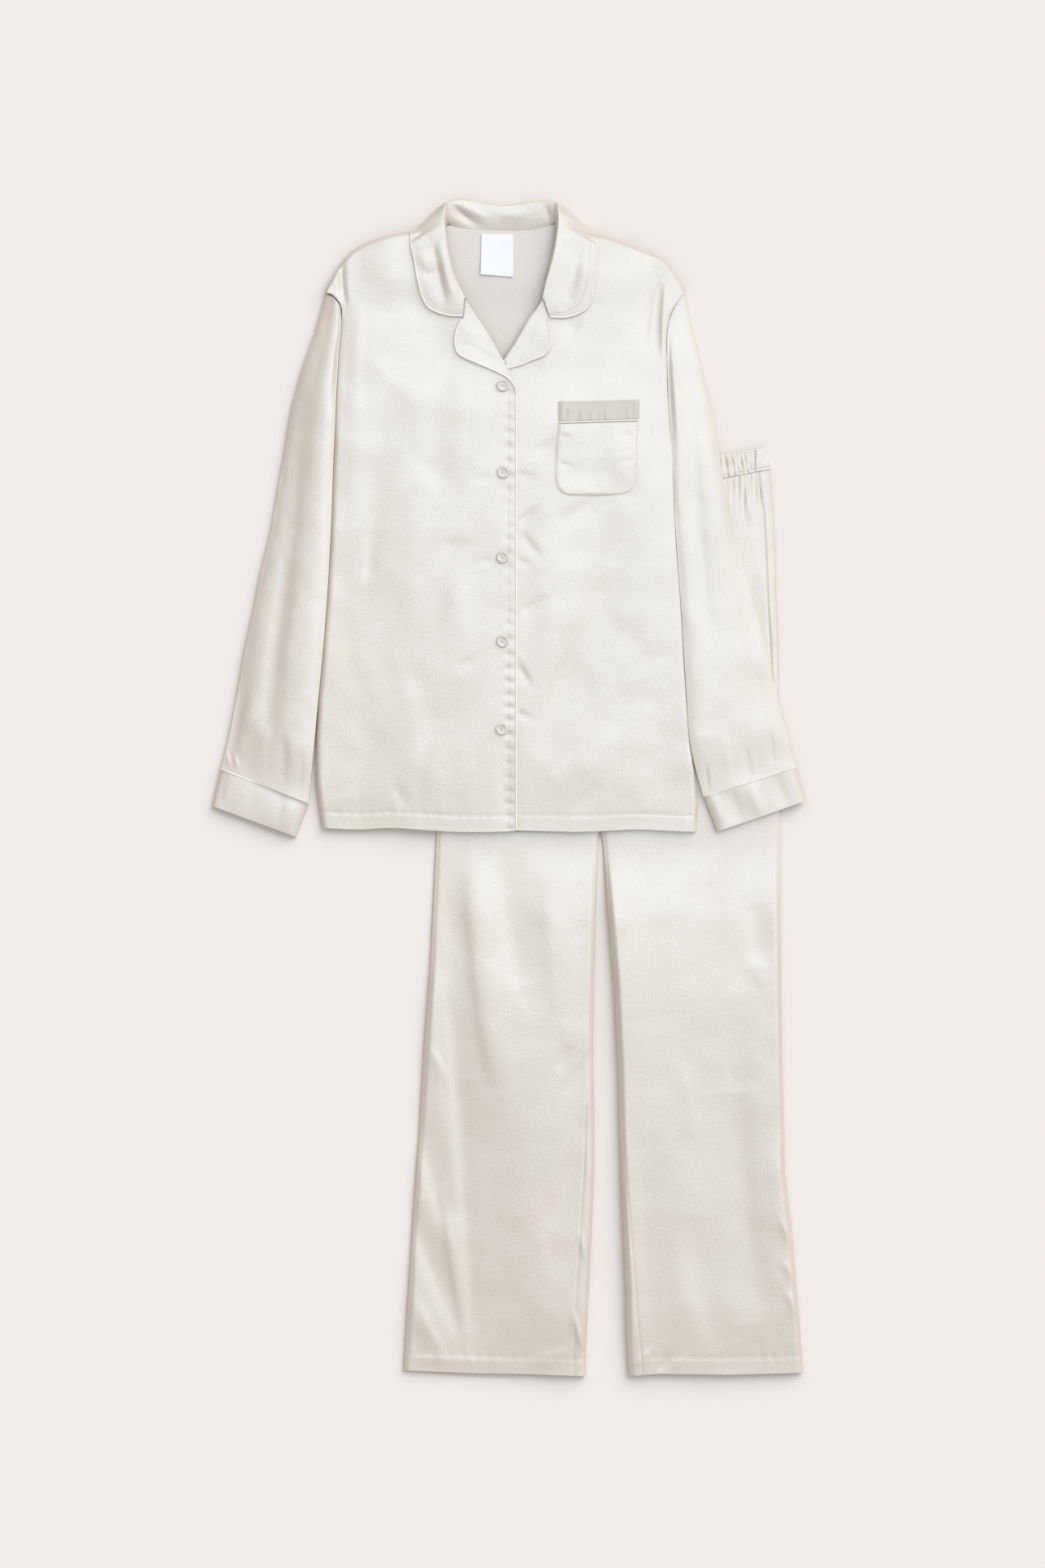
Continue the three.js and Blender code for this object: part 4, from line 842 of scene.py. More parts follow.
lower_cut = cut(HEM_LOWER, SHOULDER_LEFT, EDGE_LOWER, SIDE_LEFT)
flat = lower_cut(places(98, 0.2, 0.6), places(290, 0.2, 0.3))
left_front = np.dstack([flat[..., 0], flat[..., 1], left_front_top(flat[..., 0], flat[..., 1])])
side_y = left_front[:, -1:, 1]
room = edge_at(SLEEVE_LEFT["inner"], side_y) - edge_at(SIDE_LEFT, side_y) - 0.3
brow, foot = side_wall(left_front[:, -1:], mix(0.3, np.clip(room, 0.3, 1.2), smooth((side_y - 10) / 40)))
left_front = np.concatenate([left_front, brow, foot], axis=1)
declare(cloth("front_left_cloth", left_front, ivory_satin, replaces=["shirt_front_left"]), left_front)

# %% [markdown]
# A sleeve is one cut, seamed into a tube and laid flat: a level underside, two soft folded edges and
# a loose upper layer. It is made ring by ring from the armhole down to the cuff, so the folds placed
# on it run along the arm. The head of the sleeve fills the hollow of the armhole.

# %% Sleeves
BACK_STEPS = 12


def sleeve_air(s, t, x, y, edges, folds, seed):
    """The sleeve is fullest beside the body and thins out to its outer fold, as `crown` says."""
    slim = mix(1, 0.66, smooth((t - 0.88) / 0.12)) * mix(0.5, 1, smooth(t / 0.22))
    full = hermite(np.array(edges["crown"]), 10 * np.clip(s, 0, 1)) * mix(1, 1.16, smooth((t - 0.4) / 0.4))
    give = np.minimum(swell((s + 0.004) / 0.10), swell((1.004 - s) / 0.10))
    loose = folded(folds, x, y) + 0.5 * waves(x, y, 40, seed) + 0.2 * waves(x, y, 17, seed + 1)
    held = smooth((s - 0.82) / 0.18) * smooth((y - edges["seam"]) / 60)
    return 0.3 + mix(slim * np.maximum(full + give * loose, 0.6), 4.0, held)


def sleeve_points(edges, folds, rows, seed, across=64):
    t = places(rows, 0.25, 0.3)
    outer, inner = flow(edges["outer"])(t), flow(edges["inner"])(t)
    s = places(across, 0.55, 0.55)
    tt, ss = np.meshgrid(t, s, indexing="ij")
    x = outer[:, :1] + (inner[:, :1] - outer[:, :1]) * ss
    y = outer[:, 1:] + (inner[:, 1:] - outer[:, 1:]) * ss
    y = y + edges["cap"] * np.sin(np.pi * ss) * smooth(1 - tt / 0.08)
    z = bed(x, y) + LAYER + WALL + sleeve_air(ss, tt, x, y, edges, folds, seed)
    top = np.dstack([x, y, z])
    s = np.linspace(1, 0, BACK_STEPS + 1)[None, :]
    x = outer[:, :1] + (inner[:, :1] - outer[:, :1]) * s
    y = outer[:, 1:] + (inner[:, 1:] - outer[:, 1:]) * s
    y = y + edges["cap"] * np.sin(np.pi * s) * smooth(1 - t[:, None] / 0.08)
    under = np.dstack([x, y, bed(x, y) + 0.1])
    return np.concatenate([top, under], axis=1), top


def tube_cloth(name, points, material, replaces=(), thickness=CLOTH):
    """A flattened tube of cloth, open at both ends, with its upper side facing up."""
    rows, columns = points.shape[:2]
    faces = grid_quads(rows, columns, wrap=True)
    mid = faces[columns * (rows // 2) + columns // 3]
    a, b, c = (points.reshape(-1, 3)[mid[k]] for k in (0, 1, 3))
    if np.cross(b - a, c - a)[2] < 0:
        faces = faces[:, ::-1]
    piece = mesh_object(name, points.reshape(-1, 3), faces.tolist(), material)
    solidify = piece.modifiers.new("cloth", "SOLIDIFY")
    solidify.thickness = thickness / 1000
    solidify.offset = -1
    apply_modifiers(piece)
    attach(piece, "root")
    if replaces:
        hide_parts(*replaces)
    declare(piece, points, wrap=True)
    return piece


right_sleeve, right_sleeve_top = sleeve_points(SLEEVE_RIGHT, SLEEVE_RIGHT_FOLDS, 230, 31)
tube_cloth("sleeve_right_cloth", right_sleeve, ivory_satin, ["sleeve_right"])
left_sleeve, left_sleeve_top = sleeve_points(SLEEVE_LEFT, SLEEVE_LEFT_FOLDS, 230, 35)
tube_cloth("sleeve_left_cloth", left_sleeve, ivory_satin, ["sleeve_left"])

# %% [markdown]
# A deep plain cuff is sewn to each sleeve with a corded piping in the seam. The cuff is a firmer
# double layer, so it lies flatter than the sleeve and breaks into a few broad planes, which catch
# the light one against the other.

# %% Cuffs
CUFF_DEPTH = 38
PIPING_R = 0.95
CUFFS = {
    "right": {"outer_top": (-288, 24), "inner_top": (-200, -11), "outer_end": (-297, -14), "inner_end": (-213, -45)},
    "left": {"outer_top": (288, 26), "inner_top": (195, -4), "outer_end": (298, -9), "inner_end": (209, -40)},
}
CUFF_FOLDS = {
    "right": table(FOLD, [
        (-226, -2, -228, -16, -232, -34, 5, -0.5),
        (-214, -8, -218, -22, -224, -38, 5, 0.6),
        (-222, -6, -228, -22, -234, -40, 24, 1.8),
        (-262, 14, -268, -4, -272, -24, 10, 0.8),
        (-282, 20, -286, 6, -290, -12, 5, -0.8),
    ]),
    "left": table(FOLD, [
        (222, 2, 226, -12, 232, -30, 10, -1.3),
        (243, 8, 248, -6, 254, -24, 7, 1.4),
        (268, 18, 272, 4, 278, -14, 8, -0.8),
        (208, -4, 212, -18, 218, -34, 5, 0.8),
    ]),
}


def cuff_points(side, proud, start, end, rows, across=56, loft=4.2, thin=0.0):
    """Rings of a cuff or of its piping, from a share `start` to a share `end` down the cuff."""
    corners = {k: np.array(v, float) for k, v in CUFFS[side].items()}
    t = np.linspace(start, end, rows + 1)[:, None]
    outer = mix(corners["outer_top"], corners["outer_end"], t)
    inner = mix(corners["inner_top"], corners["inner_end"], t)
    s = places(across, 0.5, 0.5)[None, :]
    x = outer[:, :1] + (inner[:, :1] - outer[:, :1]) * s
    y = outer[:, 1:] + (inner[:, 1:] - outer[:, 1:]) * s
    rim = swell((s + 0.004) / 0.10) * swell((1.004 - s) / 0.10)
    air = rim * np.maximum(loft + folded(CUFF_FOLDS[side], x, y) - 1.0 * t, 0.6)
    top = np.dstack([x, y, bed(x, y) + LAYER + WALL + 0.3 + air + proud])
    s = np.linspace(1, 0, BACK_STEPS + 1)[None, :]
    x = outer[:, :1] + (inner[:, :1] - outer[:, :1]) * s
    y = outer[:, 1:] + (inner[:, 1:] - outer[:, 1:]) * s
    under = np.dstack([x, y, bed(x, y) + 0.1 + thin])
    return np.concatenate([top, under], axis=1), top


cuff_tops = {}
for side in ("right", "left"):
    points, top = cuff_points(side, 0.0, 1.1 * PIPING_R / CUFF_DEPTH, 1.0, 18)
    cuff_tops[side] = top
    tube_cloth(f"cuff_{side}_cloth", points, ivory_satin, [f"cuff_{side}"], 1.0)


# %% [markdown]
# Corded piping edges the collar, the lapels, the front, the pocket and the cuff seams. It is a
# narrow strip of satin sewn round a cord, so it is modelled as a round tube swept along the edge.
# Its satin is painted lighter than the ivory cloth, a painted highlight along the piping.

# %% Corded piping
def tube(name, path, radius, material, sides=8, replaces=(), closed=False):
    """A round cord along a path of points on the sheet, with closed ends."""
    path = np.asarray(path, float)
    way = np.gradient(path, axis=0)
    if closed:
        way = np.roll(path, -1, axis=0) - np.roll(path, 1, axis=0)
    way /= np.linalg.norm(way, axis=1, keepdims=True)
    side = np.cross(way, [0, 0, 1.0])
    side /= np.maximum(np.linalg.norm(side, axis=1, keepdims=True), 1e-6)
    up = np.cross(side, way)
    a = np.linspace(0, 2 * np.pi, sides, endpoint=False)
    rings = (
        path[:, None]
        + radius * np.cos(a)[None, :, None] * side[:, None]
        + radius * np.sin(a)[None, :, None] * up[:, None]
    )
    rows = len(path)
    if closed:
        rings = np.concatenate([rings, rings[:1]])
        rows += 1
    faces = grid_quads(rows, sides, wrap=True).tolist()
    if not closed:
        faces.append(list(range(sides)))
        faces.append(list(range((rows - 1) * sides, rows * sides))[::-1])
    piece = mesh_object(name, rings.reshape(-1, 3), faces, material, 60)
    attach(piece, "root")
    if replaces:
        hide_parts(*replaces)
    return piece


def resample(path, step):
    """The same path with points every `step` millimetres."""
    path = np.asarray(path, float)
    s = np.concatenate([[0], np.cumsum(np.linalg.norm(np.diff(path, axis=0), axis=1))])
    at = np.linspace(0, s[-1], max(2, int(s[-1] / step) + 1))
    return np.column_stack([np.interp(at, s, path[:, k]) for k in range(path.shape[1])])


def rounded(path, passes=6):
    """The same path with its corners worn off."""
    p = np.array(path, float)
    for _ in range(passes):
        p[1:-1] = (p[:-2] + 2 * p[1:-1] + p[2:]) / 4
    return p


for side, sleeve_top in (("right", right_sleeve_top), ("left", left_sleeve_top)):
    # It runs round the whole cuff seam, over the upper layer and back under the lower one
    points, top = cuff_points(side, -0.1, PIPING_R / CUFF_DEPTH, PIPING_R / CUFF_DEPTH, 0, thin=PIPING_R - 0.1)
    tube(f"cuff_piping_{side}_cord", resample(points[0], 2.2), PIPING_R, cord_painted_highlight,
         closed=True, replaces=[f"cuff_piping_{side}"])

# %% [markdown]
# The lapels are the tops of the fronts, faced with satin and turned back along the roll line. At the
# roll they spring up from the front, and their free edge hovers a few millimetres above it, which
# is what throws the narrow shadow beside them.

# %% Lapels
LAPEL_RIGHT = {
    "bottom": table(XY, [(-50, 439), (-44, 435.8), (-31, 430.2), (-10, 421), (-3, 417.4), (0, 415.4)]),
    "top": table(XY, [(-44.5, 476), (-43.5, 485), (-42.5, 493)]),
    "left": table(XY, [(-50, 439), (-52.5, 446), (-53, 453), (-51.5, 462), (-48, 470), (-44.5, 476)]),
    "right": table(XY, [(0, 415.4), (-2, 422), (-10, 440), (-27, 469), (-42.5, 493)]),
}
LAPEL_LEFT = {
    "bottom": table(XY, [(-1.5, 424.6), (4, 426.5), (14, 429), (22, 433), (31, 436), (37, 439)]),
    "top": table(XY, [(34, 493), (37, 484), (39, 476)]),
    "left": table(XY, [(-1.5, 424.6), (-2.6, 432), (5.5, 446), (22, 473), (34, 493)]),
    "right": table(XY, [(37, 439), (41, 445), (41.5, 454), (40, 466), (39, 476)]),
}
LAPEL_FOLDS = table(FOLD, [
    (-50, 448, -34, 444, -12, 430, 6, -0.5),
    (-46, 470, -38, 462, -24, 462, 5, 0.5),
    (38, 446, 30, 444, 16, 440, 5, -0.4),
    (38, 466, 32, 462, 24, 458, 5, 0.4),
])


def lapel_height(x, y, front, roll_line):
    from_roll = np.abs(edge_at(roll_line, y) - x)
    return front(x, y) + CLOTH + mix(0.9, 1.9, smooth(from_roll / 34)) + folded(LAPEL_FOLDS, x, y)


lapels = {}
for side, outline, front, roll_line in (
    ("right", LAPEL_RIGHT, upper_front, EDGE_UPPER),
    ("left", LAPEL_LEFT, lower_front, EDGE_LOWER),
):
    flat = cut(**outline)(places(34), places(44))
    x, y = flat[..., 0], flat[..., 1]
    lapels[side] = np.dstack([x, y, lapel_height(x, y, front, roll_line)])
    piece = cloth(f"lapel_{side}_cloth", lapels[side], ivory_satin, 0.9, replaces=[f"lapel_{side}"])
    declare(piece, lapels[side])


def beside(rows, distance, count):
    """Points beside a line, to its left as it runs."""
    p = flow(rows)(np.linspace(0, 1, count))
    way = np.gradient(p, axis=0)
    way /= np.linalg.norm(way, axis=1, keepdims=True)
    return p + distance * np.column_stack([-way[:, 1], way[:, 0]])


CORD_OUT = PIPING_R - 0.3
flip = lambda rows: {k: v[::-1] for k, v in rows.items()}
edge_y = np.linspace(-38, 397, 200)
edge = np.column_stack([
    edge_at(EDGE_UPPER, edge_y) + CORD_OUT, edge_y,
    right_front_top(edge_at(EDGE_UPPER, edge_y), edge_y) - 0.2,
])
turn = np.array([[7.6, 403, upper_front(np.array(7.0), np.array(403.0)) + 1.4],
                 [5.0, 409, upper_front(np.array(5.0), np.array(409.0)) + 1.9]])
rim = np.concatenate([
    beside(flip(LAPEL_RIGHT["bottom"]), CORD_OUT, 30), beside(LAPEL_RIGHT["left"], CORD_OUT, 24)[1:-2],
])
rim = np.column_stack([rim, lapel_height(rim[:, 0], rim[:, 1], upper_front, EDGE_UPPER) - 0.2])
front_cord = rounded(resample(np.concatenate([edge, turn, rim]), 2.0), 3)
tube("piping_front_right_cord", front_cord, PIPING_R, cord_painted_highlight, replaces=["piping_front_right"])

rim = np.concatenate([beside(LAPEL_LEFT["bottom"], -CORD_OUT, 22), beside(LAPEL_LEFT["right"], -CORD_OUT, 22)[1:]])
rim = np.column_stack([rim, lapel_height(rim[:, 0], rim[:, 1], lower_front, EDGE_LOWER) - 0.2])
left_cord = rounded(resample(rim, 2.0), 4)
tube("piping_lapel_left_cord", left_cord, PIPING_R, cord_painted_highlight, replaces=["piping_lapel_left"])

# %% [markdown]
# The collar is one long piece. From the neck seam it stands up to the roll line and falls back over
# the fronts. Behind the neck the fall is folded down under the back, so from above the collar ends
# in the roll's soft edge. It is built from upright sections set round the neck, each a short curve
# from seam over roll to outer edge.

# %% Collar
COLLAR_COLUMNS = ["seam_x", "seam_y", "roll_x", "roll_y", "roll_z", "edge_x", "edge_y", "edge_z", "tuck"]
COLLAR = table(COLLAR_COLUMNS, [
    (-42.6, 493.5, -43.6, 494.5, 12.4, -46, 477.5, 0, 0),
    (-49.4, 506.5, -50.4, 507, 13.4, -62, 478.5, 0, 0),
    (-54.6, 520.5, -56, 521, 14.2, -81, 487, 0, 0),
    (-58.4, 535, -60, 536, 14.8, -89.5, 509, 0, 0),
    (-61.4, 550, -62.5, 551, 14.8, -94, 535, 0, 0),
    (-63.0, 561.5, -64, 566, 14.2, -97.5, 550, 0, 0),
    (-61.5, 569.3, -64.5, 578, 13.4, -98.8, 560.5, 7.0, 0.15),
    (-59.0, 568.8, -63.5, 585.5, 12.6, -95.0, 561.0, 1.1, 0.6),
    (-56, 567.4, -60, 590, 10.0, -90, 561.5, 1.1, 0.9),
    (-45, 564.4, -45, 592.5, 8.2, -62, 552, 1.0, 1),
    (-7, 562.9, -7, 586.5, 7.3, -7, 540, 1.0, 1),
    (31, 564.4, 31, 591, 8.2, 48, 552, 1.0, 1),
    (42, 568.2, 46, 590, 10.0, 78.5, 561.5, 1.1, 0.9),
    (44.6, 569.6, 49.5, 585.5, 12.6, 84.0, 560.5, 1.1, 0.6),
    (46.6, 570.3, 50.5, 578, 13.4, 87.8, 560, 7.0, 0.15),
    (47.8, 562.5, 50, 566, 14.2, 88.4, 548, 0, 0),
    (46.4, 550.5, 48, 551, 14.8, 87.5, 530, 0, 0),
    (43.4, 536, 45, 536, 14.8, 85, 508, 0, 0),
    (40.0, 521, 41, 521, 14.2, 79, 486, 0, 0),
    (37.0, 507.5, 37, 507, 13.4, 60, 476.5, 0, 0),
    (34.0, 494, 34.5, 494.5, 12.4, 41.5, 476.5, 0, 0),
])
COLLAR_FOLDS = table(FOLD, [
    (-76, 549, -70, 520, -64, 490, 6, -1.9),
    (-66, 545, -62, 520, -54, 496, 4, 0.8),
    (-88, 536, -80, 532, -70, 536, 4, 0.9),
    (-88, 524, -80, 519, -70, 523, 4, -0.9),
    (70, 552, 66, 520, 58, 490, 9, -1.3),
    (82, 530, 76, 512, 66, 492, 7, 0.9),
])
STAND_FOLDS = table(FOLD, [
    (-57, 588, -44, 578, -28, 566, 4.0, -1.8),
    (-50, 590, -36, 584, -24, 576, 4.0, 1.0),
    (14, 567, 16, 563, 18, 560, 2.2, -0.8),
    (36, 590, 40, 580, 42, 572, 4.0, -0.8),
    (-10, 584, 4, 580, 22, 584, 6.0, 0.8),
])


def front_top(x, y):
    return np.where(x < NECK_X, upper_front(x, y), lower_front(x, y))


STATIONS = 190
rows = len(COLLAR["tuck"])
at = np.linspace(0, rows - 1, STATIONS)
c = {name: hermite(values, at) for name, values in COLLAR.items() if name != "tuck"}
tuck = np.interp(at, np.arange(rows), COLLAR["tuck"])
on_front = np.interp(at, np.arange(rows), (COLLAR["tuck"] == 0).astype(float))
seam_z = mix(bed(c["seam_x"], c["seam_y"]) + 0.75, front_top(c["seam_x"], c["seam_y"]) + 0.2, on_front)
edge_z = mix(c["edge_z"], front_top(c["edge_x"], c["edge_y"]) + CLOTH + 2.0, on_front)
seam = np.column_stack([c["seam_x"], c["seam_y"], seam_z])
roll = np.column_stack([c["roll_x"], c["roll_y"], c["roll_z"]])
rim_line = np.column_stack([c["edge_x"], c["edge_y"], edge_z])
out = roll[:, :2] - np.array([[NECK_X, 530.0]])
out /= np.linalg.norm(out, axis=1, keepdims=True)
out = np.column_stack([out, np.zeros(STATIONS)])
crest = roll + 2.8 * out
over = mix(rim_line, roll, 0.45)
over[:, 2] = mix(rim_line[:, 2] + 1.6, roll[:, 2], 0.45)
under = crest + 2.8 * out
under[:, 2] = rim_line[:, 2]
low = mix(over, under, tuck[:, None])


def bezier(p, t):
    """Points of a curve from its control points, for every station at once."""
    u = t[None, :, None]
    if len(p) == 3:
        return p[0][:, None] * (1 - u) ** 2 + p[1][:, None] * 2 * u * (1 - u) + p[2][:, None] * u**2
    return (
        p[0][:, None] * (1 - u) ** 3 + p[1][:, None] * 3 * u * (1 - u) ** 2
        + p[2][:, None] * 3 * u**2 * (1 - u) + p[3][:, None] * u**3
    )


mid = mix(seam, roll, 0.5)
mid[:, 2] = roll[:, 2] - mix(0.2, 1.2, on_front)
stand = bezier((seam, mid, roll), np.linspace(0, 1, 15))
stand[..., 2] += folded(STAND_FOLDS, stand[..., 0], stand[..., 1]) * np.sin(np.pi * np.linspace(0, 0.9, 15))[None]
fall = bezier((roll, crest, low, rim_line), places(30, 0.3, 0))
part = places(30, 0.3, 0)[None, :]
wrinkle = folded(COLLAR_FOLDS, fall[..., 0], fall[..., 1]) * smooth(part / 0.2)
fall[..., 2] += wrinkle * (1 - tuck[:, None])
inside_shirt = fall[..., 1] < shoulder_y(fall[..., 0]) + 2.5
held_up = np.where(inside_shirt, front_top(fall[..., 0], np.minimum(fall[..., 1], shoulder_y(fall[..., 0]))), 0)
clear = np.where(tuck[:, None] > 0.5, 0.7, np.maximum(0.7, held_up + 1.3))
clear[:, :4] = 0.7
fall[..., 2] = np.maximum(fall[..., 2], clear)
collar = np.concatenate([stand[:, :-1], fall], axis=1)
piece = mesh_object("collar_cloth", collar.reshape(-1, 3), grid_quads(*collar.shape[:2])[:, ::-1].tolist(), ivory_satin)
solidify = piece.modifiers.new("cloth", "SOLIDIFY")
solidify.thickness = 0.0009
solidify.offset = 0
apply_modifiers(piece)
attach(piece, "root")
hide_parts("collar")
declare(piece, collar)

way = fall[:, -1] - fall[:, -2]
way[:, 2] = 0
way /= np.linalg.norm(way, axis=1, keepdims=True)
collar_cord = fall[:, -1] + CORD_OUT * way
collar_cord[:, :2] -= (0.9 * smooth((0.999 - on_front) / 0.3) * smooth(tuck / 0.1))[:, None] * way[:, :2] * 4
collar_cord[:, 2] = np.maximum(collar_cord[:, 2] - 2.2 * smooth(tuck / 0.15), PIPING_R + 0.1)
tube("piping_collar_cord", rounded(resample(collar_cord, 2.0), 3), PIPING_R, cord_painted_highlight, replaces=["piping_collar"])

# %% [markdown]
# The chest pocket is a patch with rounded lower corners, a plain band across its mouth and piping
# between them. Its stitching pulls the patch into short puckers along the sides. The band is cut
# across the grain, so it gleams differently: its colour is painted darker than the ivory as painted
# shade for that duller gleam, and it has less gloss.

# %% Pocket
POCKET = {
    "bottom": table(XY, [(62, 297), (90, 296.5), (116, 299)]),
    "top": table(XY, [(50, 368), (90, 369.2), (130, 370.5)]),
    "left": table(XY, [(62, 297), (53, 300), (48, 307), (47, 316), (48, 345), (50, 368)]),
    "right": table(XY, [(116, 299), (124, 302), (128, 308), (129, 316), (129.5, 345), (130, 370.5)]),
}
POCKET_BAND = {
    "bottom": table(XY, [(50, 371.5), (90, 372.7), (131, 374)]),
    "top": table(XY, [(49.5, 391), (90, 391.6), (131.5, 393)]),
    "left": table(XY, [(50, 371.5), (49.5, 391)]),
    "right": table(XY, [(131, 374), (131.5, 393)]),
}
POCKET_FOLDS = table(FOLD, [
    (124, 357, 120, 356, 112, 355, 2.6, -0.5),
    (126, 332, 121, 331, 114, 330, 2.6, -0.4),
    (52, 358, 56, 357, 62, 356, 2.6, -0.5),
    (52, 329, 57, 328, 64, 327, 2.6, -0.5),
    (78, 302, 84, 300, 100, 301, 3.0, 0.3),
    (70, 340, 90, 330, 112, 345, 9, 0.3),
    (54, 370, 54, 382, 53, 394, 2.6, 0.5),
    (60, 374, 61, 379, 62, 386, 1.6, 0.8),
    (73, 372, 73, 377, 74, 383, 1.7, 0.7),
    (83, 372, 83, 376, 84, 381, 2.0, 0.7),
    (92, 371, 92, 375, 93, 379, 1.5, 0.5),
    (98, 372, 98, 377, 97, 383, 1.5, 0.7),
    (119, 372, 120, 377, 120, 383, 2.2, 0.6),
    (127, 370, 127, 382, 128, 394, 2.0, 0.6),
    (108, 372, 109, 382, 110, 392, 7.0, -0.4),
    (67, 373, 68, 382, 68, 391, 5.0, -0.4),
])


def pocket_height(x, y):
    inside = np.minimum(np.minimum(x - edge_at(POCKET["left"], y), edge_at(POCKET["right"], y) - x), y - 296.5)
    sewn_down = -0.45 * smooth((2.6 - inside) / 2.6)
    return lower_front(x, y) + 1.0 + sewn_down + 0.15 * waves(x, y, 14, 41) + folded(POCKET_FOLDS, x, y)


# The band is the same satin; its darker colour is painted shade for its duller cross-grain gleam.
band_painted_shade_satin = satin("pocket_band_painted_shade_satin", (0.575, 0.525, 0.455), roughness=0.45, grain=0.12, gleam=0.10)
for name, outline, grid, material, node in (
    ("pocket_cloth", POCKET, (54, 48), ivory_satin, "pocket"),
    ("pocket_band_cloth", POCKET_BAND, (54, 16), band_painted_shade_satin, "pocket_band"),
):
    flat = cut(**outline)(places(grid[0]), places(grid[1]))
    x, y = flat[..., 0], flat[..., 1]
    sheet = np.dstack([x, y, pocket_height(x, y)])
    declare(cloth(name, sheet, material, 0.6, replaces=[node]), sheet)
t = np.linspace(0, 1, 44)
x, y = mix(50.5, 130, t), mix(369.9, 372.4, t)
tube("piping_pocket_cord", np.column_stack([x, y, pocket_height(x, y)]), PIPING_R, cord_painted_highlight,
     replaces=["piping_pocket"])

# %% [markdown]
# Neck label: a blank woven tape, folded over and caught in the neck seam, so only its top edge is
# held and its corners lift a little.

# %% Label
LABEL = {
    "bottom": table(XY, [(-28, 519), (5, 516.5)]),
    "top": table(XY, [(-27, 559.5), (5, 559.5)]),
    "left": table(XY, [(-28, 519), (-27, 559.5)]),
    "right": table(XY, [(5, 516.5), (5, 559.5)]),
}
flat = cut(**LABEL)(places(20), places(24))
x, y = flat[..., 0], flat[..., 1]
lift = smooth((545 - y) / 30) * (0.6 + 0.5 * np.cos((x + 11) / 16 * np.pi / 2 + 2.2))
label = np.dstack([x, y, bed(x, y) + 0.6 + CLOTH + 1.3 + lift])
declare(cloth("neck_label_cloth", label, woven_label, 0.4, replaces=["neck_label"]), label)


# %% [markdown]
# Shirt buttons: small discs with a raised rim and a dished middle, sewn on with a few crossed
# strands through four holes. The profile is turned about the button's axis, as the real one is cast.

# %% Buttons
BUTTON_R = 6.15
BUTTON_PROFILE = table(["r", "z"], [
    (0.01, 1.45), (2.6, 1.45), (3.4, 1.6), (4.1, 2.1), (4.9, 2.35), (5.7, 2.1), (6.15, 1.5), (6.15, 0.9),
    (5.2, 0.25), (0.01, 0.2),
])
HOLE_SPACING = 1.35


def button(index, y):
    turns = 40
    a = np.linspace(0, 2 * np.pi, turns, endpoint=False)
    r, h = BUTTON_PROFILE["r"], BUTTON_PROFILE["z"]
    x0 = BUTTON_X + (0.0, 0.3, -0.4, -0.3, -1.2)[index]
    base = float(right_front_top(np.array([x0]), np.array([float(y)]))[0]) + 0.35
    points = np.stack([
        x0 + r[:, None] * np.cos(a)[None], y + r[:, None] * np.sin(a)[None], base + h[:, None] + 0 * a[None],
    ], -1)
    points[..., 2] += 0.02 * (points[..., 0] - x0)
    piece = mesh_object(f"button_{index + 1}_pearl", points.reshape(-1, 3),
                        grid_quads(len(r), turns, wrap=True)[:, ::-1].tolist(), pearl_button, 40)
    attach(piece, "root")
    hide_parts(f"button_{index + 1}")
    strands = []
    for k, (sx, sy) in enumerate(((1, 1), (1, -1), (-1, 1), (-1, -1))):
        tip = np.array([x0 + sx * HOLE_SPACING, y + sy * HOLE_SPACING, base + 1.45])
        middle = np.array([x0, y, base + 1.95])
        strands.append(np.array([tip, mix(tip, middle, 0.5) + (0, 0, 0.25), middle]))
    return strands


button_thread = [strand for i, y in enumerate(BUTTON_Y) for strand in button(i, y)]
print("buttons:", len(BUTTON_Y))

# %% [markdown]
# The trousers. A back leg lies on the table, comes up round both folds and ends at the two seams,
# so its section is a flat C. The front leg closes the C, level with the back's edges at the seams.
# Below the shirt's hem the cloth is laid in fine rows, and under the shirt in coarse ones.

# %% Trouser legs
ROWS = np.concatenate([np.linspace(0, 0.625, 236), np.linspace(0.63, 1.0, 90)])


def strip_at(strip, y):
    order = np.argsort(strip["y"], kind="stable")
    return np.interp(y, strip["y"][order], strip["x"][order])


def leg_rows(leg):
    level = mix(TROUSER_HEM_Y, 312, ROWS)
    outer, inner = edge_at(leg["outer"], level), edge_at(leg["inner"], level)
    side = np.sign(inner[0] - outer[0])
    return {
        "outer": outer, "inner": inner, "side": side, "level": level,
        "outer_seam": outer + side * strip_at(leg["outer_strip"], level),
        "inner_seam": inner - side * strip_at(leg["inner_strip"], level),
    }


def seam_groove(from_seam, y):
    """The side seams draw in a little, most below the gathered waist."""
    return -(0.34 + 0.2 * smooth((y - 60) / 80)) * np.exp(-((from_seam / 1.3) ** 2))


def leg_y(leg, x, t):
    return mix(level_at(leg["hem"], x), level_at(WAIST_LINE, x) - 0.4, t)


def leg_relief(leg, x, y, rows):
    hem_y = level_at(leg["hem"], x)
    pulled = puckers(x, y - hem_y - 16.5, 13, 5, 0.4, 51)
    seam = np.minimum(np.abs(x - rows["outer_seam"][:, None]), np.abs(x - rows["inner_seam"][:, None]))
    gathers = 0.45 * np.sin(2 * np.pi * x / 5.8) * smooth((y - 268) / 44) * smooth((x - 214) / 6)
    return hem_band(y, hem_y, 16.5, 0.2) + pulled + seam_groove(seam, y) + gathers


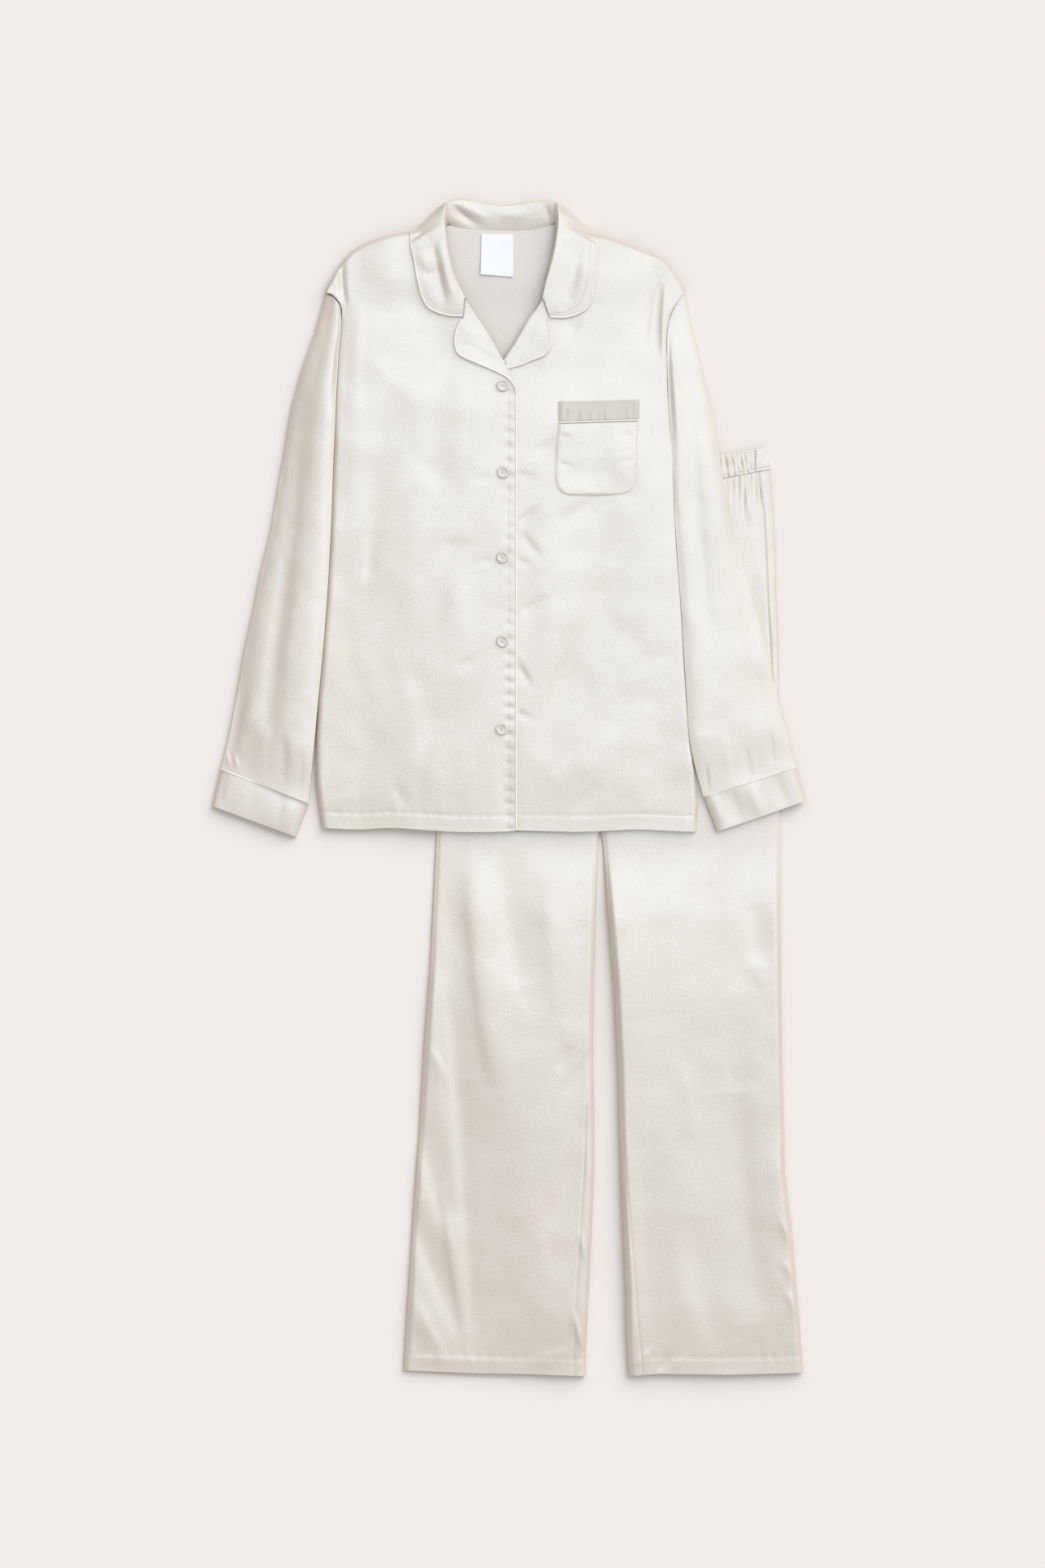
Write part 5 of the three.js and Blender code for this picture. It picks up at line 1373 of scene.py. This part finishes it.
for name, leg in (("right", RIGHT_LEG), ("left", LEFT_LEG)):
    rows = leg_rows(leg)
    s = places(84, 0.35, 0.35)[None, :]
    x = rows["outer_seam"][:, None] + (rows["inner_seam"] - rows["outer_seam"])[:, None] * s
    y = leg_y(leg, x, ROWS[:, None])
    z = leg_top(x, y) + leg_relief(leg, x, y, rows)
    front = np.dstack([x, y, z])
    declare(cloth(f"trouser_front_{name}_cloth", front, ivory_satin, replaces=[f"trouser_front_{name}"]), front)

    def turned(fold, seam, direction):
        """The part of the back leg that comes up over one fold, from the seam to the floor."""
        share = np.linspace(0, 1, 9)[None, :]
        start = fold + direction * 2.4
        x = seam[:, None] + (start - seam)[:, None] * share
        y = leg_y(leg, x, ROWS[:, None])
        flat_part = np.dstack([x, y, leg_top(x, y) + hem_band(y, level_at(leg["hem"], x), 16.5, 0.2)
                               + seam_groove(x - seam[:, None], y)])
        top = flat_part[:, -1, 2][:, None]
        a = np.radians(np.array([30, 60, 90, 125, 160, 180]))[None, :]
        x = start[:, None] - direction * 2.4 * np.sin(a)
        y = leg_y(leg, x, ROWS[:, None])
        bend = np.dstack([x, y, mix(0.35, top, (1 + np.cos(a)) / 2)])
        return np.concatenate([flat_part, bend], axis=1)

    outer = turned(rows["outer"], rows["outer_seam"], rows["side"])
    inner = turned(rows["inner"], rows["inner_seam"], -rows["side"])[:, ::-1]
    s = np.linspace(0, 1, 14)[1:-1][None, :]
    x = outer[:, -1:, 0] + (inner[:, :1, 0] - outer[:, -1:, 0]) * s
    drop = 4.2 * np.sin(np.pi * s) ** 0.6 * (1 - ROWS[:, None])
    y = leg_y(leg, x, ROWS[:, None]) - drop
    floor = np.dstack([x, y, 0.35 + 0 * x])
    section = np.concatenate([outer, floor, inner], axis=1)
    piece = mesh_object(f"trouser_back_{name}_cloth", section.reshape(-1, 3),
                        grid_quads(*section.shape[:2]).tolist(), ivory_satin)
    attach(piece, "root")
    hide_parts(f"trouser_back_{name}")
    declare(piece, section)

# %% [markdown]
# The waistband is a casing round an elastic, which draws it into upright ridges. Only its left end
# comes out from under the sleeve: a stretch of ridges and then a flat stitched block at the side
# seam. The ridges are a wave along the band, uneven in height as real gathers are.

# %% Waistband
BAND_LEFT, BAND_RIGHT = -70.5, 263.5
GATHERS = table(["x", "width", "rise"], [
    (214.5, 2.2, 1.0), (221.5, 2.3, 1.4), (227.5, 2.1, 1.2), (231.5, 1.7, 1.0), (235.7, 1.8, 1.3),
    (240.2, 1.9, 1.1), (243.8, 1.5, 0.9),
])


def waistband():
    t = np.linspace(0, 1, 25)[:, None]
    s = np.concatenate([np.linspace(0, 0.82, 40), np.linspace(0.822, 1, 130)])[None, :]
    x = mix(BAND_LEFT, BAND_RIGHT, s) - 6 * t * smooth((s - 0.6) * 3)
    y = level_at(WAIST_LINE, x) + WAIST_DEPTH * t
    ridge = np.zeros_like(x)
    for gx, width, rise in zip(GATHERS["x"], GATHERS["width"], GATHERS["rise"]):
        lean = -3.5 * (t - 0.5)
        ridge += rise * np.exp(-(((x - gx - lean) / width) ** 2)) * (0.75 + 0.25 * np.sin(9 * t + gx))
    block = 0.9 * smooth((x - 246) / 2) * smooth((BAND_RIGHT - x) / 3)
    stitch = -0.5 * np.exp(-(((x - 247.5) / 1.0) ** 2))
    channel = -0.45 * (np.exp(-(((t - 0.10) / 0.04) ** 2)) + np.exp(-(((t - 0.9) / 0.04) ** 2)))
    rim = swell((BAND_RIGHT + 0.2 - x) / 3) * swell((x - BAND_LEFT + 0.2) / 3)
    top_rim = swell((t + 0.02) / 0.10) * swell((1.02 - t) / 0.10)
    z = 2.7 + 0.1 + rim * top_rim * (ridge * smooth((x - 211) / 4) + block + 0.3) + stitch + channel * (x > 212)
    top = np.dstack([x, y, z])
    s = np.linspace(1, 0, 40)[None, :]
    x = mix(BAND_LEFT, BAND_RIGHT, s) - 6 * t * smooth((s - 0.6) * 3)
    y = level_at(WAIST_LINE, x) + WAIST_DEPTH * t
    return np.concatenate([top, np.dstack([x, y, 0.1 + 0 * x])], axis=1)


tube_cloth("waistband_cloth", waistband(), ivory_satin, ["waistband"])

# %% [markdown]
# Topstitching holds down the placket, the hems, the collar and the pocket. Each stitch is a short
# thread capsule that dips at both ends into the cloth. All stitches of a line are one mesh, because
# hundreds of objects would slow everything down.


# %% Stitching
def capsules(name, runs, radius, sides=6):
    """Short rounded threads, each given by its two ends, in one mesh."""
    points, faces = [], []
    a = np.linspace(0, 2 * np.pi, sides, endpoint=False)
    share = np.array([0.0, 0.25, 0.75, 1.0])
    girth = np.array([0.25, 1.0, 1.0, 0.25])
    for p, q in runs:
        way = (q - p) / max(np.linalg.norm(q - p), 1e-6)
        side = np.cross(way, [0, 0, 1.0])
        side /= max(np.linalg.norm(side), 1e-6)
        up = np.cross(side, way)
        first = len(points)
        for f, g in zip(share, girth):
            sink = np.array([0, 0, -0.25 * (g < 1)])
            for angle in a:
                points.append(mix(p, q, f) + sink + radius * g * (np.cos(angle) * side + np.sin(angle) * up))
        ring = grid_quads(len(share), sides, wrap=True) + first
        faces += ring.tolist()
        faces.append([first + k for k in range(sides)])
        faces.append([first + 3 * sides + k for k in range(sides)][::-1])
    piece = mesh_object(name, np.array(points), faces, thread, 60)
    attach(piece, "root")
    return piece


def stitch_line(path, length=2.1, gap=0.8):
    """Pairs of ends along a path on the cloth."""
    path = resample(path, 0.5)
    s = np.concatenate([[0], np.cumsum(np.linalg.norm(np.diff(path, axis=0), axis=1))])
    runs = []
    start = gap
    while start + length < s[-1]:
        ends = [np.array([np.interp(d, s, path[:, k]) for k in range(3)]) for d in (start, start + length)]
        runs.append(tuple(ends))
        start += length + gap
    return runs


lines = []
y = np.linspace(-36, 408, 300)
x = np.full_like(y, PLACKET_STITCH_X)
lines.append(np.column_stack([x, y, right_front_top(x, y) + 0.15]))
for hem, top, x0, x1 in ((HEM_UPPER, right_front_top, -184, 5), (HEM_LOWER, left_front_top, 10, 186)):
    x = np.linspace(x0, x1, 150)
    y = level_at(hem, x) + 16
    lines.append(np.column_stack([x, y, top(x, y) + 0.15]))
inner_rim = mix(fall[:, -1], fall[:, -5], 0.9)
keep = on_front > 0.5
half = STATIONS // 2
for group in (np.arange(STATIONS) < half, np.arange(STATIONS) >= half):
    line = inner_rim[keep & group].copy()
    line[:, 2] += 0.55
    lines.append(line)
for outline in (POCKET,):
    loop = np.concatenate([
        flow(flip(outline["left"]))(np.linspace(0, 1, 60)), flow(outline["bottom"])(np.linspace(0, 1, 40)),
        flow(outline["right"])(np.linspace(0, 1, 60)),
    ])
    centre = np.array([[90.0, 335.0]])
    loop = centre + (loop - centre) * np.array([[0.965, 0.965]])
    lines.append(np.column_stack([loop, pocket_height(loop[:, 0], loop[:, 1]) + 0.15]))
shirt_runs = [run for line in lines for run in stitch_line(line)]
capsules("shirt_stitching", shirt_runs, 0.28)
lines = []
for leg in (RIGHT_LEG, LEFT_LEG):
    rows = leg_rows(leg)
    lo, hi = sorted((rows["outer_seam"][0], rows["inner_seam"][0]))
    x = np.linspace(lo + 2, hi - 2, 140)
    y = level_at(leg["hem"], x) + 16.5
    lines.append(np.column_stack([x, y, leg_top(x, y) + hem_band(y, y - 16.5, 16.5, 0.2) + 0.05]))
trouser_runs = [run for line in lines for run in stitch_line(line)]
capsules("trouser_stitching", trouser_runs, 0.28)
capsules("button_thread", [(s[k], s[k + 1]) for s in button_thread for k in range(2)], 0.33)
print("stitches:", len(shirt_runs) + len(trouser_runs))

# %% [markdown]
# A garment photographed flat lies on a pale warm table under a large soft light from the upper
# right, with the room filling the shadows. The shadow edge is soft and lies to the lower left.

# %% Table, light and camera
floor_material, nodes, links, shader = new_material("pale_table")
shader.inputs["Base Color"].default_value = (0.865, 0.825, 0.795, 1)
shader.inputs["Roughness"].default_value = 1.0
shader.inputs["Specular IOR Level"].default_value = 0.0
mesh = bpy.data.meshes.new("table")
mesh.from_pydata([(-6, -6, 0), (6, -6, 0), (6, 6, 0), (-6, 6, 0)], [], [(0, 1, 2, 3)])
mesh.materials.append(floor_material)
table_top = bpy.data.objects.new("table", mesh)
table_top.location.z = -0.0004
bpy.context.scene.collection.objects.link(table_top)

world = bpy.data.worlds.new("room")
world.use_nodes = True
world.node_tree.nodes["Background"].inputs["Color"].default_value = (1, 1, 1, 1)
world.node_tree.nodes["Background"].inputs["Strength"].default_value = 0.62
bpy.context.scene.world = world


def lamp_at(light, place, aim=(0, 0, 0)):
    lamp = bpy.data.objects.new(light.name, light)
    lamp.location = place
    lamp.rotation_euler = (Vector(aim) - Vector(place)).to_track_quat("-Z", "Y").to_euler()
    bpy.context.scene.collection.objects.link(lamp)
    return lamp


window = bpy.data.lights.new("window_light", "SUN")
window.energy = 2.2
window.angle = math.radians(52)
lamp_at(window, (2.8, 3.0, 2.9)).visible_glossy = False
panel = bpy.data.lights.new("gleam_panel", "AREA")
panel.shape = "RECTANGLE"
panel.size, panel.size_y = 2.8, 3.0
panel.energy = 83
panel.color = (0.62, 0.795, 1.0)
lamp_at(panel, (0.1, 1.35, 3.7)).visible_diffuse = False
strip = bpy.data.lights.new("gleam_strip", "AREA")
strip.shape = "RECTANGLE"
strip.size, strip.size_y = 1.3, 4.2
strip.energy = 36
strip.color = (0.64, 0.82, 1.0)
lamp_at(strip, (2.2, 0.0, 3.2)).visible_diffuse = False
bpy.context.scene.view_settings.view_transform = "Standard"

CAMERA_HEIGHT = 4.0
PICTURE = (1.0496, 1.5744)  # what the picture shows at table height, in metres
PICTURE_MIDDLE = ((14.1 - SHEET_MIDDLE[0]) / 1000, (8.0 - SHEET_MIDDLE[1]) / 1000)
camera_data = bpy.data.cameras.new("camera")
camera_data.sensor_fit = "VERTICAL"
camera_data.sensor_height = 36
camera_data.lens = 36 * CAMERA_HEIGHT / PICTURE[1]
camera_data.clip_end = 50
camera = bpy.data.objects.new("camera", camera_data)
camera.location = (*PICTURE_MIDDLE, CAMERA_HEIGHT)
bpy.context.scene.collection.objects.link(camera)
bpy.context.scene.camera = camera

# %% [markdown]
# Last, the triangles of all the pieces are counted and printed.

# %% Finish
total = sum(len(p.data.loop_triangles) or sum(len(f.vertices) - 2 for f in p.data.polygons) for p in pieces.values())
print("triangles:", total)
